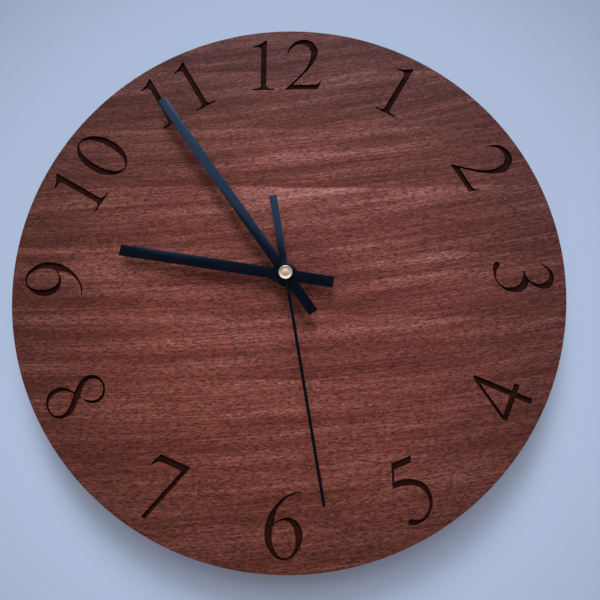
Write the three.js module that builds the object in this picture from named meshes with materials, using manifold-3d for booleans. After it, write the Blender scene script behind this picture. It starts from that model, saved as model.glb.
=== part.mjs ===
// Round wooden wall clock with a quartz movement let into its back, in millimetres.
// The clock is drawn as it hangs: x to the right, y up to twelve o'clock, z out of the wall
// towards the viewer, with the wall plane at z = 0 and the hands turning about the z axis.
// The exported group turns that frame so that +Z is up and the dial faces -Y.
import * as THREE from 'three';
import { mergeVertices } from 'three/addons/utils/BufferGeometryUtils.js';
import Module from 'manifold-3d';

// Dial board
const DIAL_DIAMETER = 300;
const DIAL_THICKNESS = 22;
const FRONT_EDGE_ROUND = 1.5;
const BACK_EDGE_CHAMFER = 0.8;
const WEB = 4;                      // wood between the movement pocket and the dial face
const POCKET_CLEARANCE = 2;         // between the movement case and the pocket walls
const POCKET_CORNER = 6;            // radius that the router bit leaves

// Keyhole hanger let into the back
const HANGER_BELOW_TOP = 42;        // keyhole slot end below the top of the board
const HANGER_LENGTH = 44;
const HANGER_WIDTH = 20;
const HANGER_GAUGE = 1.5;
const HANGER_SUNK = 0.2;            // plate face below the back of the board
const KEYHOLE_ENTRY = 8.5;
const KEYHOLE_SLOT = 4.6;
const KEYHOLE_TRAVEL = 7;
const KEYHOLE_ROUTED_DEPTH = 7;     // room for the wall screw's head behind the plate
const HANGER_SCREW_SPACING = 32;
const HANGER_SCREW_SHANK = 3;
const HANGER_SCREW_HEAD = 6;
const HANGER_SCREW_LENGTH = 13;

// Hands, as measured on the photograph, with angles clockwise from twelve
const HOUR_HAND = { reach: 91, tail: 25.5, width: 6.2, boss: 12.4, angle: 278.3 };
const MINUTE_HAND = { reach: 124, tail: 23, width: 5.4, boss: 11, angle: 324.5 };
const SECOND_HAND = { reach: 117.5, width: 1.6, boss: 8.2, angle: 170.6 };
const SECOND_TAIL = { reach: 42.3, width: 4.3, neck: 3, taper: 9 };
const HAND_GAUGE = 0.5;
const HAND_COLLAR_WALL = 1;
const HOUR_COLLAR_HEIGHT = 1;
const MINUTE_COLLAR_HEIGHT = 1.4;
const FERRULE_STEM_HEIGHT = 1.4;
const FERRULE_HEAD = 7.4;
const FERRULE_HEAD_HEIGHT = 1.2;
const FERRULE_EDGE = 0.3;           // bevel around the head
const FERRULE_BORE = 0.6;           // how far the shaft's bore runs into the head
const TUBE_PROUD = 0.3;             // each tube ends this far above the hand that it carries

// Central fixing
const BUSH_THREAD = 8;
const BUSH_FLANGE = 11;
const BUSH_FLANGE_HEIGHT = 0.7;
const BUSH_PROUD = 0.6;             // bush above the nut
const GASKET_DIAMETER = 22;
const GASKET_THICKNESS = 1;
const WASHER_DIAMETER = 15;
const WASHER_THICKNESS = 0.8;
const NUT_ACROSS_FLATS = 12.5;
const NUT_HEIGHT = 2.5;

// Tubes and shafts on the hand axis
const SECOND_SHAFT = 1.2;
const MINUTE_TUBE = 3.2;
const HOUR_TUBE = 5;

// Fits
const SEAT = 0.1;                   // between faces that rest on each other
const RUNNING = 0.2;                // around a turning shaft
const ENTRY = 0.3;                  // around a fixed piece in its hole
const HAND_GAP = 0.3;               // along the axis between one tube's end and the next collar

// Gear teeth, stub involutes with a little backlash
const PRESSURE_ANGLE = THREE.MathUtils.degToRad(25);
const ADDENDUM = 0.7;               // in modules
const DEDENDUM = 0.95;              // in modules
const BACKLASH = 0.08;
const PINION_LEAVES = 8;
const INTERMEDIATE_TEETH = 40;
const SECOND_TEETH = 48;
const THIRD_TEETH = 60;
const CENTRE_TEETH = 64;
const CANNON_LEAVES = 12;
const MINUTE_TEETH = 36;
const MINUTE_LEAVES = 10;
const HOUR_TEETH = 40;
const STEP_MODULE = 0.34;           // rotor, intermediate and second wheels
const SLOW_MODULE = 0.33;           // second pinion and third wheel
const MOTION_MODULE = 0.4;          // cannon pinion, minute wheel and setting pinion

// Where each axis lies from the one before it, in degrees anticlockwise from the x axis
const INTERMEDIATE_BEARING = 120;
const ROTOR_BEARING = 135;
const THIRD_BEARING = 20;
const MINUTE_WHEEL_BEARING = 192;
const SETTING_BEARING = 175;
const BRIDGE_POST_BEARINGS = [-35, 65, 140];

// Movement plates, wheels and arbors
const FRONT_PLATE = 1.4;
const CASE_WALL = 1.2;
const CASE_CORNER = 3;
const COVER_PLATE = 1.2;
const COVER_LIP = 1.6;
const WHEEL = 0.9;                  // thickness of a wheel
const LEVEL_GAP = 0.6;              // between wheels on neighbouring levels
const OVERLAP = 0.15;               // a pinion is this much longer than its wheel at each end
const BRIDGE_PLATE = 0.9;
const BRIDGE_ARM = 5.4;
const POST = 3;
const ARBOR = 1.2;
const PIVOT = 0.8;
const PIVOT_LENGTH = 0.6;
const ARBOR_FLANGE = 5.2;
const ARBOR_FLANGE_HEIGHT = 0.35;
const INNER_CLEARANCE = 0.5;        // between the outermost inner piece and a case wall

// Stepping motor
const MAGNET_DIAMETER = 5.5;
const MAGNET_HEIGHT = 2.2;
const STATOR_SHEET = 0.8;
const STATOR_GAP = 0.45;            // air gap around the magnet
const STATOR_RING = 1.3;            // steel around the rotor hole
const STATOR_BAR = 4.4;
const STATOR_LEG = 3.6;
const COIL_LENGTH = 17;
const COIL_DIAMETER = 6.8;
const BOBBIN_TUBE = 3.4;
const BOBBIN_FLANGE = 0.8;
const CORE_WIDTH = 2;
const MOTOR_SCREW_SHANK = 1.6;
const MOTOR_SCREW_HEAD = 3;
const MOTOR_SCREW_HEAD_HEIGHT = 0.8;
const MOTOR_SCREW_GRIP = 3;         // shank inside the post

// Circuit board with its crystal and its sealed chip
const BOARD_LENGTH = 17;
const BOARD_WIDTH = 9.5;
const BOARD_SHEET = 1;
const BOARD_PIN = 1.4;
const CRYSTAL_DIAMETER = 2.1;
const CRYSTAL_LENGTH = 6.2;
const CRYSTAL_OFFSET = { x: -2.1, y: 2.4 };
const CHIP_DIAMETER = 5;
const CHIP_HEIGHT = 1;
const CHIP_OFFSET = { x: 2.1, y: -1.2 };

// Cell and its contacts
const CELL_DIAMETER = 14.2;
const CELL_LENGTH = 50.5;
const CELL_NUB = 5.4;
const CELL_NUB_HEIGHT = 1.2;
const CELL_CLEARANCE = 0.4;
const CONTACT_SHEET = 0.4;
const CONTACT_WIDTH = 8;
const CONTACT_BOW = 0.7;            // how far the leaf of a contact bows towards the cell

// Setting knob
const KNOB_DIAMETER = 11;
const KNOB_HEIGHT = 1.5;
const KNOB_FLUTES = 18;
const KNOB_FLUTE_DEPTH = 0.5;

// Facets
const DIAL_SIDES = 72;
const ROUND_SIDES = 20;
const SMALL_SIDES = 10;
const CORNER_STEPS = 3;
const END_STEPS = 6;
const EDGE_STEPS = 3;
const LEAF_STEPS = 4;

const TURN = Math.PI * 2;
const radians = THREE.MathUtils.degToRad;
const wasm = await Module();
wasm.setup();

// Places along the hand axis, from the wall plane to the viewer
const pocketFloor = DIAL_THICKNESS - WEB;
const gasketFront = pocketFloor - SEAT;
const gasketBack = gasketFront - GASKET_THICKNESS;
const caseFront = gasketBack - SEAT;
const plateInner = caseFront - FRONT_PLATE;
const flangeFront = plateInner - SEAT;
const flangeBack = flangeFront - BUSH_FLANGE_HEIGHT;
const hourLevel = level(flangeBack, WHEEL);
const minuteLevel = level(hourLevel.back, WHEEL);
const centreLevel = level(minuteLevel.back, WHEEL);
const bridgeLevel = level(centreLevel.back, BRIDGE_PLATE);
const thirdLevel = level(bridgeLevel.back, WHEEL);
const secondLevel = level(thirdLevel.back, WHEEL);
const intermediateLevel = level(secondLevel.back, WHEEL);
const coverInner = intermediateLevel.back - LEVEL_GAP;
const coverBack = coverInner - COVER_PLATE;
const washerBack = DIAL_THICKNESS + SEAT;
const washerFront = washerBack + WASHER_THICKNESS;
const nutBack = washerFront + SEAT;
const nutFront = nutBack + NUT_HEIGHT;
const bushFront = nutFront + BUSH_PROUD;
const hourCollarBack = bushFront + HAND_GAP;
const hourHandBack = hourCollarBack + HOUR_COLLAR_HEIGHT;
const hourTubeFront = hourHandBack + HAND_GAUGE + TUBE_PROUD;
const minuteCollarBack = hourTubeFront + HAND_GAP;
const minuteHandBack = minuteCollarBack + MINUTE_COLLAR_HEIGHT;
const minuteTubeFront = minuteHandBack + HAND_GAUGE + TUBE_PROUD;
const ferruleBack = minuteTubeFront + HAND_GAP;
const secondHandBack = ferruleBack + FERRULE_STEM_HEIGHT;
const ferruleHeadBack = secondHandBack + HAND_GAUGE + SEAT;
const ferruleFront = ferruleHeadBack + FERRULE_HEAD_HEIGHT;
const gripFront = ferruleHeadBack + FERRULE_BORE;

// Places of the movement's axes on the dial plane
const centreAxis = new THREE.Vector2(0, 0);
const intermediateAxis = along(centreAxis, INTERMEDIATE_BEARING, reach(PINION_LEAVES, SECOND_TEETH, STEP_MODULE));
const rotorAxis = along(intermediateAxis, ROTOR_BEARING, reach(PINION_LEAVES, INTERMEDIATE_TEETH, STEP_MODULE));
const thirdReach = reach(PINION_LEAVES, THIRD_TEETH, SLOW_MODULE);
const thirdAxis = along(centreAxis, THIRD_BEARING, thirdReach);
const centreModule = 2 * thirdReach / (PINION_LEAVES + CENTRE_TEETH);
const minuteReach = reach(CANNON_LEAVES, MINUTE_TEETH, MOTION_MODULE);
const minuteAxis = along(centreAxis, MINUTE_WHEEL_BEARING, minuteReach);
const hourModule = 2 * minuteReach / (MINUTE_LEAVES + HOUR_TEETH);
const settingAxis = along(minuteAxis, SETTING_BEARING, minuteReach);
const postReach = tipRadius(CENTRE_TEETH, centreModule) + LEVEL_GAP + POST / 2;
const postAxes = BRIDGE_POST_BEARINGS.map((bearing) => along(centreAxis, bearing, postReach));

// Turns that put every pair of wheels in mesh at rest
const rotorTurn = 0;
const intermediateTurn = meshed(PINION_LEAVES, rotorTurn, INTERMEDIATE_TEETH, ROTOR_BEARING + 180);
const secondTurn = meshed(PINION_LEAVES, intermediateTurn, SECOND_TEETH, INTERMEDIATE_BEARING + 180);
const thirdTurn = meshed(PINION_LEAVES, secondTurn, THIRD_TEETH, THIRD_BEARING);
const centreTurn = meshed(PINION_LEAVES, thirdTurn, CENTRE_TEETH, THIRD_BEARING + 180);
const cannonTurn = 0;
const minuteTurn = meshed(CANNON_LEAVES, cannonTurn, MINUTE_TEETH, MINUTE_WHEEL_BEARING);
const hourTurn = meshed(MINUTE_LEAVES, minuteTurn, HOUR_TEETH, MINUTE_WHEEL_BEARING + 180);
const settingTurn = meshed(MINUTE_TEETH, minuteTurn, CANNON_LEAVES, SETTING_BEARING);

// Motor, board and cell, laid out around the train
const statorLevel = { front: thirdLevel.back + STATOR_SHEET / 2, back: thirdLevel.back - STATOR_SHEET / 2 };
const coreBack = statorLevel.front + SEAT;
const coreFront = coreBack + STATOR_SHEET;
const statorHole = MAGNET_DIAMETER / 2 + STATOR_GAP;
const coilY = rotorAxis.y + statorHole + STATOR_RING + LEVEL_GAP + COIL_DIAMETER / 2;
const coilZ = (coreBack + coreFront) / 2;
const legOffset = COIL_LENGTH / 2 + LEVEL_GAP + STATOR_LEG / 2;
const legAxes = [-1, 1].map((side) => new THREE.Vector2(rotorAxis.x + side * legOffset, coilY));
const lowestTooth = Math.min(
  centreAxis.y - tipRadius(CENTRE_TEETH, centreModule),
  minuteAxis.y - tipRadius(MINUTE_TEETH, MOTION_MODULE),
  thirdAxis.y - tipRadius(THIRD_TEETH, SLOW_MODULE),
);
const dividerTop = lowestTooth - INNER_CLEARANCE;
const bayTop = dividerTop - CASE_WALL;
const cellY = bayTop - CELL_CLEARANCE - CELL_DIAMETER / 2;
const cellZ = plateInner - CELL_CLEARANCE - CELL_DIAMETER / 2;
const bayBottom = cellY - CELL_DIAMETER / 2 - CELL_CLEARANCE;
const contactRoom = CONTACT_SHEET + CONTACT_BOW + SEAT * 2;
const bayHalf = CELL_LENGTH / 2 + contactRoom;
const caseTop = coilY + COIL_DIAMETER / 2 + INNER_CLEARANCE + CASE_WALL;
const caseBottom = bayBottom - CASE_WALL;
const caseHalf = bayHalf + CASE_WALL;
const boardFront = thirdLevel.front;
const boardBack = boardFront - BOARD_SHEET;
const boardX = bayHalf - INNER_CLEARANCE - BOARD_LENGTH / 2;
const boardY = caseTop - CASE_WALL - INNER_CLEARANCE - BOARD_WIDTH / 2;
const boardPins = [-1, 1].map((side) => new THREE.Vector2(
  boardX + side * (BOARD_LENGTH / 2 - POST / 2),
  boardY + side * (BOARD_WIDTH / 2 - POST / 2),
));

// Finishes
const finish = (color, roughness, metalness = 0) => new THREE.MeshStandardMaterial({ color, roughness, metalness });
const SAPELE = finish('#6f4038', 0.5);
const BLACK_LACQUER = finish('#14171b', 0.35);
const BRASS = finish('#c9a25c', 0.3, 1);
const STEEL = finish('#a9adb0', 0.35, 1);
const BLACK_ABS = finish('#1b1b1c', 0.55);
const RUBBER = finish('#151515', 0.9);
const WHITE_ACETAL = finish('#e6e2d6', 0.45);
const COPPER = finish('#a85a32', 0.4, 1);
const BOARD_LAMINATE = finish('#8a6a3a', 0.6);
const EPOXY = finish('#101010', 0.4);
const MAGNET = finish('#3a3a3d', 0.5, 1);
const CELL_JACKET = finish('#5d6a72', 0.4);

// Front and back of the next level behind a face.
function level(face, thickness) {
  return { front: face - LEVEL_GAP, back: face - LEVEL_GAP - thickness };
}

// Point at a bearing and distance from another point.
function along(from, bearing, distance) {
  const angle = radians(bearing);
  return new THREE.Vector2(from.x + distance * Math.cos(angle), from.y + distance * Math.sin(angle));
}

// Distance between the axes of two meshed wheels.
function reach(teethA, teethB, module) {
  return module * (teethA + teethB) / 2;
}

function tipRadius(teeth, module) {
  return module * (teeth / 2 + ADDENDUM);
}

// Turn that sets a gap of the driven wheel over a tooth of its driver, on their line of centres.
function meshed(driverTeeth, driverTurn, drivenTeeth, bearing) {
  const line = radians(bearing);
  return line + Math.PI + (Math.PI - (driverTurn - line) * driverTeeth) / drivenTeeth;
}

// Outlines
function circle(radius, sides = SMALL_SIDES, centre = centreAxis) {
  return Array.from({ length: sides }, (_, i) => along(centre, 360 * i / sides, radius));
}

function rectangle(left, bottom, right, top) {
  return [[left, bottom], [right, bottom], [right, top], [left, top]].map(([x, y]) => new THREE.Vector2(x, y));
}

function roundedRectangle(left, bottom, right, top, radius) {
  const corners = [[right - radius, top - radius], [left + radius, top - radius],
    [left + radius, bottom + radius], [right - radius, bottom + radius]];
  return corners.flatMap(([x, y], quarter) => Array.from({ length: CORNER_STEPS + 1 }, (_, i) =>
    along(new THREE.Vector2(x, y), 90 * (quarter + i / CORNER_STEPS), radius)));
}

// Bar with half-round ends around two points.
function capsule(a, b, width) {
  const heading = THREE.MathUtils.radToDeg(Math.atan2(b.y - a.y, b.x - a.x));
  const end = (centre, start) => Array.from({ length: END_STEPS + 1 }, (_, i) =>
    along(centre, start + 180 * i / END_STEPS, width / 2));
  return [...end(b, heading - 90), ...end(a, heading + 90)];
}

// Gear outline with its first tooth at the given turn from the x axis.
function gear(teeth, module, turn, centre) {
  const pitch = teeth * module / 2;
  const base = pitch * Math.cos(PRESSURE_ANGLE);
  const tip = tipRadius(teeth, module);
  const root = pitch - DEDENDUM * module;
  const involute = (radius) => {
    const angle = Math.acos(Math.min(1, base / radius));
    return Math.tan(angle) - angle;
  };
  const halfAtPitch = Math.PI / (2 * teeth) - BACKLASH / (2 * pitch);
  const half = (radius) => halfAtPitch + involute(pitch) - involute(Math.max(radius, base));
  const radii = root > base ? [root, tip] : [root, pitch, tip];
  const flank = [...radii.map((radius) => [radius, -half(radius)]),
    ...radii.toReversed().map((radius) => [radius, half(radius)])];
  return Array.from({ length: teeth }, (_, tooth) => flank.map(([radius, offset]) =>
    along(centre, THREE.MathUtils.radToDeg(turn + TURN * tooth / teeth + offset), radius))).flat();
}

// Geometry
function plate(outline, back, front, holes = []) {
  const shape = new THREE.Shape(outline);
  shape.holes = holes.map((hole) => new THREE.Path(hole));
  const geometry = new THREE.ExtrudeGeometry(shape, { depth: front - back, bevelEnabled: false });
  return geometry.translate(0, 0, back);
}

// Solid of revolution about an axis along z, from [radius, z] pairs.
function turned(profile, sides = SMALL_SIDES, axis = centreAxis) {
  const points = profile.map(([radius, z]) => new THREE.Vector2(radius, z));
  return new THREE.LatheGeometry(points, sides).rotateX(Math.PI / 2).translate(axis.x, axis.y, 0);
}

function rod(radius, back, front, sides, axis) {
  return turned([[0, back], [radius, back], [radius, front], [0, front]], sides, axis);
}

function tube(outer, inner, back, front, sides, axis) {
  return turned([[inner, back], [outer, back], [outer, front], [inner, front], [inner, back]], sides, axis);
}

// Closed solid with its faces pointing out, ready to be joined and cut.
function solid(geometry) {
  const bare = geometry.index ? geometry.toNonIndexed() : geometry.clone();
  bare.deleteAttribute('normal');
  bare.deleteAttribute('uv');
  const merged = mergeVertices(bare);
  const position = merged.attributes.position;
  const corner = (i) => new THREE.Vector3().fromBufferAttribute(position, i);
  const triangles = [];
  let volume = 0;
  for (let i = 0; i < merged.index.count; i += 3) {
    const [a, b, c] = [0, 1, 2].map((k) => merged.index.getX(i + k));
    if (a !== b && b !== c && c !== a) {
      triangles.push([a, b, c]);
      volume += corner(a).dot(corner(b).cross(corner(c)));
    }
  }
  const facingOut = volume > 0 ? triangles : triangles.map(([a, b, c]) => [a, c, b]);
  return new wasm.Manifold(new wasm.Mesh({
    numProp: 3,
    vertProperties: new Float32Array(position.array),
    triVerts: new Uint32Array(facingOut.flat()),
  }));
}

function join(...pieces) {
  return pieces.map((piece) => (piece.isBufferGeometry ? solid(piece) : piece)).reduce((a, b) => a.add(b));
}

function cut(blank, ...tools) {
  return tools.reduce((rest, tool) => rest.subtract(join(tool)), join(blank));
}

// Named piece of the clock.
function piece(name, material, ...pieces) {
  const { vertProperties, triVerts } = join(...pieces).getMesh();
  const geometry = new THREE.BufferGeometry();
  geometry.setAttribute('position', new THREE.BufferAttribute(vertProperties, 3));
  geometry.setIndex(new THREE.BufferAttribute(triVerts, 1));
  geometry.computeVertexNormals();
  const mesh = new THREE.Mesh(geometry, material);
  mesh.name = name;
  return mesh;
}

function group(...children) {
  return new THREE.Group().add(...children);
}

// Wheel with a pinion, its arbor and a pivot at each end. The pinion runs from one level to another.
function wheelAndPinion(axis, wheel, pinion, arborBack, arborFront) {
  return join(
    plate(gear(wheel.teeth, wheel.module, wheel.turn, axis), wheel.level.back, wheel.level.front),
    plate(gear(pinion.teeth, pinion.module, wheel.turn, axis), pinion.back, pinion.front),
    rod(ARBOR / 2, arborBack, arborFront, SMALL_SIDES, axis),
    rod(PIVOT / 2, arborBack - PIVOT_LENGTH, arborFront + PIVOT_LENGTH, SMALL_SIDES, axis),
  );
}

// Blind bore for a pivot, with room at its end.
function pivotBore(axis, face, direction) {
  const end = face + direction * (PIVOT_LENGTH + SEAT);
  const mouth = face - direction * SEAT;
  return rod(PIVOT / 2 + RUNNING, Math.min(end, mouth), Math.max(end, mouth), SMALL_SIDES, axis);
}

// Dial board: a turned disc with the movement's pocket, the hand bore and the hanger's recess.
function dialBoard() {
  const radius = DIAL_DIAMETER / 2;
  const roundOver = Array.from({ length: EDGE_STEPS + 1 }, (_, i) => {
    const angle = Math.PI / 2 * i / EDGE_STEPS;
    return [radius - FRONT_EDGE_ROUND * (1 - Math.cos(angle)),
      DIAL_THICKNESS - FRONT_EDGE_ROUND * (1 - Math.sin(angle))];
  });
  const disc = turned([[0, 0], [radius - BACK_EDGE_CHAMFER, 0], [radius, BACK_EDGE_CHAMFER],
    ...roundOver, [0, DIAL_THICKNESS]], DIAL_SIDES);
  const pocket = roundedRectangle(-caseHalf - POCKET_CLEARANCE, caseBottom - POCKET_CLEARANCE,
    caseHalf + POCKET_CLEARANCE, caseTop + POCKET_CLEARANCE, POCKET_CORNER);
  const through = DIAL_THICKNESS;
  return piece('wooden_dial', SAPELE, cut(
    disc,
    plate(pocket, -through, pocketFloor),
    rod(BUSH_THREAD / 2 + ENTRY, -through, DIAL_THICKNESS + through, ROUND_SIDES),
    plate(hangerOutline(ENTRY), -through, HANGER_SUNK + HANGER_GAUGE + SEAT),
    plate(keyholeRoom(), -through, HANGER_SUNK + HANGER_GAUGE + KEYHOLE_ROUTED_DEPTH),
    ...hangerScrewAxes().map((axis) => hangerScrew(axis, ENTRY)),
  ));
}

// Keyhole hanger: the wall screw's head enters the round hole, then the clock drops on to the slot.
function keyholeCentres() {
  const height = DIAL_DIAMETER / 2 - HANGER_BELOW_TOP;
  const slotEnd = new THREE.Vector2(0, height);
  const entry = new THREE.Vector2(0, height - KEYHOLE_TRAVEL);
  return { slotEnd, entry, middle: height - KEYHOLE_TRAVEL / 2 };
}

function hangerOutline(clearance) {
  const { middle } = keyholeCentres();
  const straight = (HANGER_LENGTH - HANGER_WIDTH) / 2;
  return capsule(new THREE.Vector2(-straight, middle), new THREE.Vector2(straight, middle),
    HANGER_WIDTH + 2 * clearance);
}

function keyholeRoom() {
  const { slotEnd, entry } = keyholeCentres();
  return capsule(entry, slotEnd, KEYHOLE_ENTRY + 2 * ENTRY);
}

function hangerScrewAxes() {
  const { middle } = keyholeCentres();
  return [-1, 1].map((side) => new THREE.Vector2(side * HANGER_SCREW_SPACING / 2, middle));
}

// Countersunk wood screw, or with an allowance the hole that takes it.
function hangerScrew(axis, allowance) {
  const head = HANGER_SCREW_HEAD / 2 + allowance;
  const shank = HANGER_SCREW_SHANK / 2 + allowance;
  const top = HANGER_SUNK + SEAT - allowance;
  const end = top + HANGER_SCREW_LENGTH + 2 * allowance;
  return turned([[0, top], [head, top], [shank, top + head - shank], [shank, end - shank], [0, end]],
    SMALL_SIDES, axis);
}

function hanger() {
  const { slotEnd, entry } = keyholeCentres();
  const back = HANGER_SUNK;
  const front = HANGER_SUNK + HANGER_GAUGE;
  const [leftScrew, rightScrew] = hangerScrewAxes();
  return group(
    piece('hanger_plate', STEEL, cut(
      plate(hangerOutline(0), back, front),
      plate(circle(KEYHOLE_ENTRY / 2, ROUND_SIDES, entry), -front, 2 * front),
      plate(capsule(entry, slotEnd, KEYHOLE_SLOT), -front, 2 * front),
      hangerScrew(leftScrew, ENTRY),
      hangerScrew(rightScrew, ENTRY),
    )),
    piece('hanger_screw_left', STEEL, hangerScrew(leftScrew, 0)),
    piece('hanger_screw_right', STEEL, hangerScrew(rightScrew, 0)),
  );
}

// Bush, gasket, washer and nut that clamp the movement to the dial's web.
function centralFixing() {
  const bore = HOUR_TUBE / 2 + RUNNING;
  const thread = BUSH_THREAD / 2;
  return group(
    piece('threaded_bush', BRASS, turned([[bore, flangeBack], [BUSH_FLANGE / 2, flangeBack],
      [BUSH_FLANGE / 2, flangeFront], [thread, flangeFront], [thread, bushFront], [bore, bushFront],
      [bore, flangeBack]], ROUND_SIDES)),
    piece('rubber_gasket', RUBBER, tube(GASKET_DIAMETER / 2, thread + ENTRY, gasketBack, gasketFront, ROUND_SIDES)),
    piece('brass_washer', BRASS, tube(WASHER_DIAMETER / 2, thread + ENTRY, washerBack, washerFront, ROUND_SIDES)),
    piece('hex_nut', BRASS, hexNut(thread + ENTRY)),
  );
}

// Hexagon nut with its front corners turned off.
function hexNut(bore) {
  const apothem = NUT_ACROSS_FLATS / 2;
  const corner = apothem / Math.cos(Math.PI / 6);
  const prism = plate(circle(corner, 6), nutBack, nutFront, [circle(bore, ROUND_SIDES)]);
  const drop = (corner - apothem) / 2;
  const blank = turned([[0, nutBack - SEAT], [corner + drop, nutBack - SEAT], [corner + drop, nutFront - 2 * drop],
    [apothem - drop, nutFront], [0, nutFront]], ROUND_SIDES);
  return solid(prism).intersect(solid(blank));
}

// Baton hand stamped from sheet, with the collar that grips its tube.
function hand(name, collarName, spec, handBack, collarBack, tubeDiameter) {
  const bore = tubeDiameter / 2 + SEAT;
  const front = handBack + HAND_GAUGE;
  const baton = rectangle(-spec.width / 2, -spec.tail, spec.width / 2, spec.reach);
  const boss = circle(spec.boss / 2, ROUND_SIDES);
  const blade = cut(
    join(plate(baton, handBack, front), plate(boss, handBack, front)),
    rod(bore, handBack - HAND_GAUGE, front + HAND_GAUGE, ROUND_SIDES),
  );
  const blades = group(piece(name, BLACK_LACQUER, blade));
  blades.rotation.z = -radians(spec.angle);
  const collar = tube(bore + HAND_COLLAR_WALL, bore, collarBack, handBack - SEAT, ROUND_SIDES);
  return group(blades, piece(collarName, BLACK_LACQUER, collar));
}

// Needle hand with a broad tail that balances it.
function secondHand() {
  const front = secondHandBack + HAND_GAUGE;
  const stem = SECOND_SHAFT / 2 + SEAT + HAND_COLLAR_WALL;
  const needle = rectangle(-SECOND_HAND.width / 2, 0, SECOND_HAND.width / 2, SECOND_HAND.reach);
  const tail = [[-SECOND_TAIL.neck / 2, 0], [-SECOND_TAIL.width / 2, -SECOND_TAIL.taper],
    [-SECOND_TAIL.width / 2, -SECOND_TAIL.reach], [SECOND_TAIL.width / 2, -SECOND_TAIL.reach],
    [SECOND_TAIL.width / 2, -SECOND_TAIL.taper], [SECOND_TAIL.neck / 2, 0]]
    .map(([x, y]) => new THREE.Vector2(x, y));
  const outlines = [needle, tail, circle(SECOND_HAND.boss / 2, ROUND_SIDES)];
  const blade = cut(
    join(...outlines.map((outline) => plate(outline, secondHandBack, front))),
    rod(stem + SEAT, secondHandBack - HAND_GAUGE, front + HAND_GAUGE, ROUND_SIDES),
  );
  const blades = group(piece('second_hand', BLACK_LACQUER, blade));
  blades.rotation.z = -radians(SECOND_HAND.angle);
  // Ferrule: a stem that grips the shaft, riveted through the hand under a turned head
  const head = FERRULE_HEAD / 2;
  const grip = SECOND_SHAFT / 2 + SEAT;
  const ferrule = turned([[grip, ferruleBack], [stem, ferruleBack], [stem, ferruleHeadBack],
    [head, ferruleHeadBack], [head, ferruleFront - FERRULE_EDGE], [head - FERRULE_EDGE, ferruleFront],
    [0, ferruleFront], [0, gripFront], [grip, gripFront], [grip, ferruleBack]], ROUND_SIDES);
  return group(blades, piece('second_hand_ferrule', BRASS, ferrule));
}

// Wheels on the hand axis
function centreTrain() {
  const shaftFront = gripFront - SEAT;
  const secondWheel = wheelAndPinion(
    centreAxis,
    { teeth: SECOND_TEETH, module: STEP_MODULE, turn: secondTurn, level: secondLevel },
    { teeth: PINION_LEAVES, module: SLOW_MODULE, back: secondLevel.front - OVERLAP,
      front: thirdLevel.front + OVERLAP },
    coverInner + SEAT,
    thirdLevel.front,
  );
  const bore = MINUTE_TUBE / 2;
  const arborBack = bridgeLevel.front + SEAT;
  const centreBore = bore + RUNNING;
  const cannon = plate(gear(CANNON_LEAVES, MOTION_MODULE, cannonTurn, centreAxis),
    minuteLevel.back - OVERLAP, minuteLevel.front + OVERLAP);
  const minuteArbor = cut(
    join(
      rod(ARBOR_FLANGE / 2, arborBack, arborBack + ARBOR_FLANGE_HEIGHT, ROUND_SIDES),
      rod(bore, arborBack, minuteTubeFront, ROUND_SIDES),
      cannon,
    ),
    rod(SECOND_SHAFT / 2 + RUNNING, arborBack - WHEEL, minuteTubeFront + WHEEL, SMALL_SIDES),
  );
  const hourWheel = cut(
    join(
      plate(gear(HOUR_TEETH, hourModule, hourTurn, centreAxis), hourLevel.back, hourLevel.front),
      rod(HOUR_TUBE / 2, hourLevel.back, hourTubeFront, ROUND_SIDES),
    ),
    rod(MINUTE_TUBE / 2 + RUNNING, hourLevel.back - WHEEL, hourTubeFront + WHEEL, ROUND_SIDES),
  );
  return group(
    piece('second_wheel', WHITE_ACETAL, secondWheel, rod(SECOND_SHAFT / 2, secondLevel.front, shaftFront)),
    piece('centre_wheel', WHITE_ACETAL, plate(gear(CENTRE_TEETH, centreModule, centreTurn, centreAxis),
      centreLevel.back, centreLevel.front, [circle(centreBore, ROUND_SIDES)])),
    piece('minute_arbor', BRASS, minuteArbor),
    piece('hour_wheel', WHITE_ACETAL, hourWheel),
  );
}

// Wheels beside the hand axis
function sideTrain() {
  const intermediate = wheelAndPinion(
    intermediateAxis,
    { teeth: INTERMEDIATE_TEETH, module: STEP_MODULE, turn: intermediateTurn, level: intermediateLevel },
    { teeth: PINION_LEAVES, module: STEP_MODULE, back: intermediateLevel.front - OVERLAP,
      front: secondLevel.front + OVERLAP },
    coverInner + SEAT,
    bridgeLevel.back - SEAT,
  );
  const third = wheelAndPinion(
    thirdAxis,
    { teeth: THIRD_TEETH, module: SLOW_MODULE, turn: thirdTurn, level: thirdLevel },
    { teeth: PINION_LEAVES, module: centreModule, back: thirdLevel.front - OVERLAP,
      front: centreLevel.front + OVERLAP },
    coverInner + SEAT,
    plateInner - SEAT,
  );
  const stud = ARBOR + RUNNING * 2;
  const minuteWheel = cut(
    join(
      plate(gear(MINUTE_TEETH, MOTION_MODULE, minuteTurn, minuteAxis), minuteLevel.back, minuteLevel.front),
      plate(gear(MINUTE_LEAVES, hourModule, minuteTurn, minuteAxis), minuteLevel.front - OVERLAP,
        hourLevel.front + OVERLAP),
    ),
    rod(stud / 2, minuteLevel.back - WHEEL, hourLevel.front + WHEEL, SMALL_SIDES, minuteAxis),
  );
  return group(
    piece('intermediate_wheel', WHITE_ACETAL, intermediate),
    piece('third_wheel', WHITE_ACETAL, third),
    piece('minute_wheel', WHITE_ACETAL, minuteWheel),
  );
}

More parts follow.
